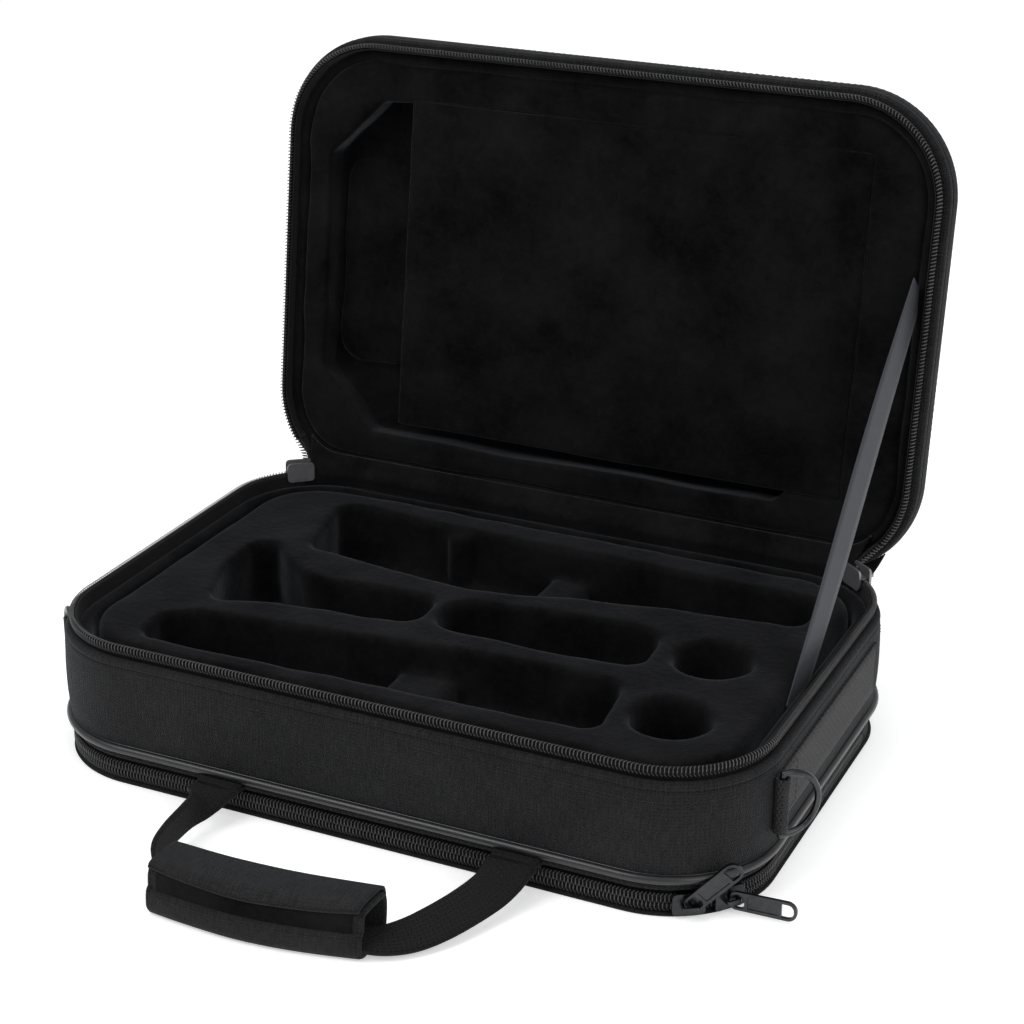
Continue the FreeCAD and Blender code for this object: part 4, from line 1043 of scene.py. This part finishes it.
def grip(cy, left, right):
    """Padded sleeve: a woven panel below, a velvet band on its front and a flap that closes over it."""
    xs = np.linspace(left, right, 72)
    u = (xs - left) / (right - left)
    middle = cy - 3.0 + 7.0 * u - 4.5 * np.sin(u * math.pi)
    full = (12.6 + 1.3 * np.sin(u * math.pi)) / 14.4 + smooth_noise(xs, 130, 61, 0.008)
    sag = 1.3 * np.sin(u ** 0.8 * math.pi) + smooth_noise(xs, 130, 62, 0.45)

    def placed(q, drop=0.0):
        """Section points of y and z at every place along the sleeve."""
        out = np.zeros((len(xs), len(q), 3))
        out[..., 0] = xs[:, None]
        out[..., 1] = middle[:, None] + q[None, :, 0] * full[:, None] + 2.4 * q[None, :, 1] / 24.0 - 0.6
        out[..., 2] = np.maximum(0.15, q[None, :, 1] - drop)
        return out

    section = np.array([(-12.4, 13.4), (-13.7, 13.0), (-14.5, 11.8), (-14.7, 8.0), (-14.3, 4.0), (-12.6, 1.2),
                        (-9, 0.25), (0, 0.2), (9, 0.3), (12.5, 1.6), (14, 5), (14.3, 12), (13.8, 18),
                        (12.2, 21.3), (9.0, 22.6), (4, 23.0), (-4, 23.1), (-9.8, 23.0), (-12.0, 22.2),
                        (-12.7, 20), (-12.6, 16)])
    q = loop_points(section, 4, 2)
    d = lengths(np.vstack([q, q[:1]]))
    inside = np.column_stack([q[:, 0] * 0.8, 11.6 + (q[:, 1] - 11.6) * 0.78])
    shell = np.concatenate([placed(q), placed(inside)[::-1]], 0)
    uv = uv_over(np.concatenate([xs, xs[::-1], [xs[0]]]), d)
    ob = grid("grip_sleeve", shell, uv, M["grip"], close_u=True, close_v=True)
    put(ob, "handle", "grip_wrap", slot="grip_cloth")
    # The flap lies over the back and top, and ends in a piped edge low on the front
    f = spline([(13.9, 15.5), (13.4, 20.2), (11.0, 23.4), (6.0, 24.4), (0.0, 24.9), (-6.0, 25.0),
                (-9.6, 24.9), (-11.8, 24.5), (-13.2, 23.8)], 44)
    fp = placed(f)
    low = np.clip((np.arange(44) - 33) / 10.0, 0, 1)
    fp[..., 2] -= sag[:, None] * low[None, :] ** 1.5
    fp[..., 1] -= 0.5 * low[None, :] * np.sin(u * math.pi)[:, None]
    dd = lengths(f)
    uv = uv_over(np.append(xs, xs[-1]), np.append(dd, dd[-1]))
    flap = thickened(grid("grip_flap", fp, uv, M["grip"]), 1.4, -1)
    put(flap, "handle", slot="grip_cloth")
    edge = fp[:, -1, :] + np.array([0, 0.1, -0.1])
    put(tube("grip_flap_piping", edge, 1.0, M["grip"]), "handle", slot="grip_cloth")
    for name, at in (("grip_flap_stitches", 37), ("grip_top_stitches", 12)):
        line = fp[:, at, :]
        nor = unit(np.cross(np.gradient(line, axis=0), fp[:, at + 1, :] - fp[:, at - 1, :]))
        nor *= np.sign(nor[len(nor) // 2, 2])
        dashes(name, line + nor * 0.25, nor)
    seam = placed(np.array([(-14.9, 10.6)]))[:, 0, :]
    dashes("grip_seam_stitches", seam, np.tile([0.0, -1.0, 0.05], (len(seam), 1)))
    # Velvet band between the flap and the woven panel
    zs = np.linspace(12.2, 22.6, 9)
    round_ = np.sin((zs - zs[0]) / (zs[-1] - zs[0]) * math.pi)
    sp = placed(np.column_stack([-12.95 - 0.25 * round_, zs]))[2:-2]
    uv = uv_over(np.append(xs[2:-2], xs[-3]), np.append(zs, zs[-1]))
    st = thickened(grid("grip_strip_velvet", sp, uv, M["velvet"]), 0.6, -1)
    put(st, "handle", "grip_loop_strip", slot="plush")
    # Bound ends of the sleeve
    for idx, name in ((0, "left"), (-1, "right")):
        rim = (placed(q)[idx] + placed(inside)[idx]) / 2
        rim[:, 2] = np.maximum(rim[:, 2], 1.75)
        put(tube("grip_end_binding_" + name, rim, 1.5, M["grip"], closed=True), "handle", slot="grip_cloth")


def dashes(name, line, normal):
    """Row of stitches along a line on the sleeve."""
    gap = 2.9
    d = lengths(line)
    at = np.arange(gap, d[-1] - gap * 0.6, gap)
    cen, nor = taken_at(line, at, d), taken_at(normal, at, d)
    tan = unit(np.gradient(cen, axis=0))
    put(stitches(name, cen, tan, nor, M["seam"], 1.9, 0.5, 0.25), "handle", slot="grip_cloth")


def metal():
    """Looks of the CAD's own nodes that stay in the model."""
    looks = (("rim_slider", "bright"), ("rim_pull", "metal"), ("pocket_slider", "metal"),
             ("pocket_pull", "metal"), ("strap_ring", "steel"), ("piping", "vinyl"), ("tray_floor", "board"))
    for name, node in nodes.items():
        for start, look in looks:
            if name.startswith(start):
                for slot in node.material_slots:
                    slot.material = M[look]


def stage_and_light():
    """White floor, a world the camera sees as white, and three area lamps."""
    me = bpy.data.meshes.new("floor")
    e = 6.0
    me.from_pydata([(-e, -e, 0), (e, -e, 0), (e, e, 0), (-e, e, 0)], [], [(0, 1, 2, 3)])
    floor = bpy.data.objects.new("floor", me)
    link(floor)
    m = bpy.data.materials.new("floor_look")
    t, (out, dif, em, lp, both) = new_nodes(
        m, "OutputMaterial", "BsdfDiffuse", "Emission", "LightPath", "AddShader")
    dif.inputs[0].default_value = (0.86, 0.86, 0.86, 1)
    seen = math_node(t, "MAXIMUM", lp.outputs["Is Camera Ray"], lp.outputs["Is Glossy Ray"])
    t.links.new(mul(t, seen, 0.42), em.inputs[1])
    t.links.new(dif.outputs[0], both.inputs[0])
    t.links.new(em.outputs[0], both.inputs[1])
    t.links.new(both.outputs[0], out.inputs[0])
    me.materials.append(m)
    w = bpy.data.worlds.new("world")
    bpy.context.scene.world = w
    t, (out, lit, white, lp, mix) = new_nodes(
        w, "OutputWorld", "Background", "Background", "LightPath", "MixShader")
    for node, colour, strength in ((lit, (0.97, 0.98, 1.0, 1), 0.5), (white, (1, 1, 1, 1), 1.0)):
        node.inputs[0].default_value = colour
        node.inputs[1].default_value = strength
    see = math_node(t, "MAXIMUM", lp.outputs["Is Camera Ray"], lp.outputs["Is Transmission Ray"])
    t.links.new(see, mix.inputs[0])
    t.links.new(lit.outputs[0], mix.inputs[1])
    t.links.new(white.outputs[0], mix.inputs[2])
    t.links.new(mix.outputs[0], out.inputs[0])
    lamps = (("key", (-0.9, -1.3, 1.9), 1.3, 22), ("fill", (1.7, -0.9, 1.2), 1.4, 14),
             ("top", (0.1, 0.5, 2.2), 1.6, 16))
    for name, pos, size, power in lamps:
        data = bpy.data.lights.new(name, "AREA")
        data.size = size
        data.energy = power
        lamp = bpy.data.objects.new(name, data)
        lamp.location = pos
        lamp.rotation_euler = (Vector((0, 0, 0.1)) - Vector(pos)).to_track_quat("-Z", "Y").to_euler()
        link(lamp)


make_camera()
tray_wall()
zips()
lining()
insert()
gusset()
pocket()
lid_shell()
lid_liner()
lid_border()
lid_flap()
hinge()
stay()
side_straps()
handle()
metal()
stage_and_light()
bpy.context.scene.view_settings.view_transform = "Standard"
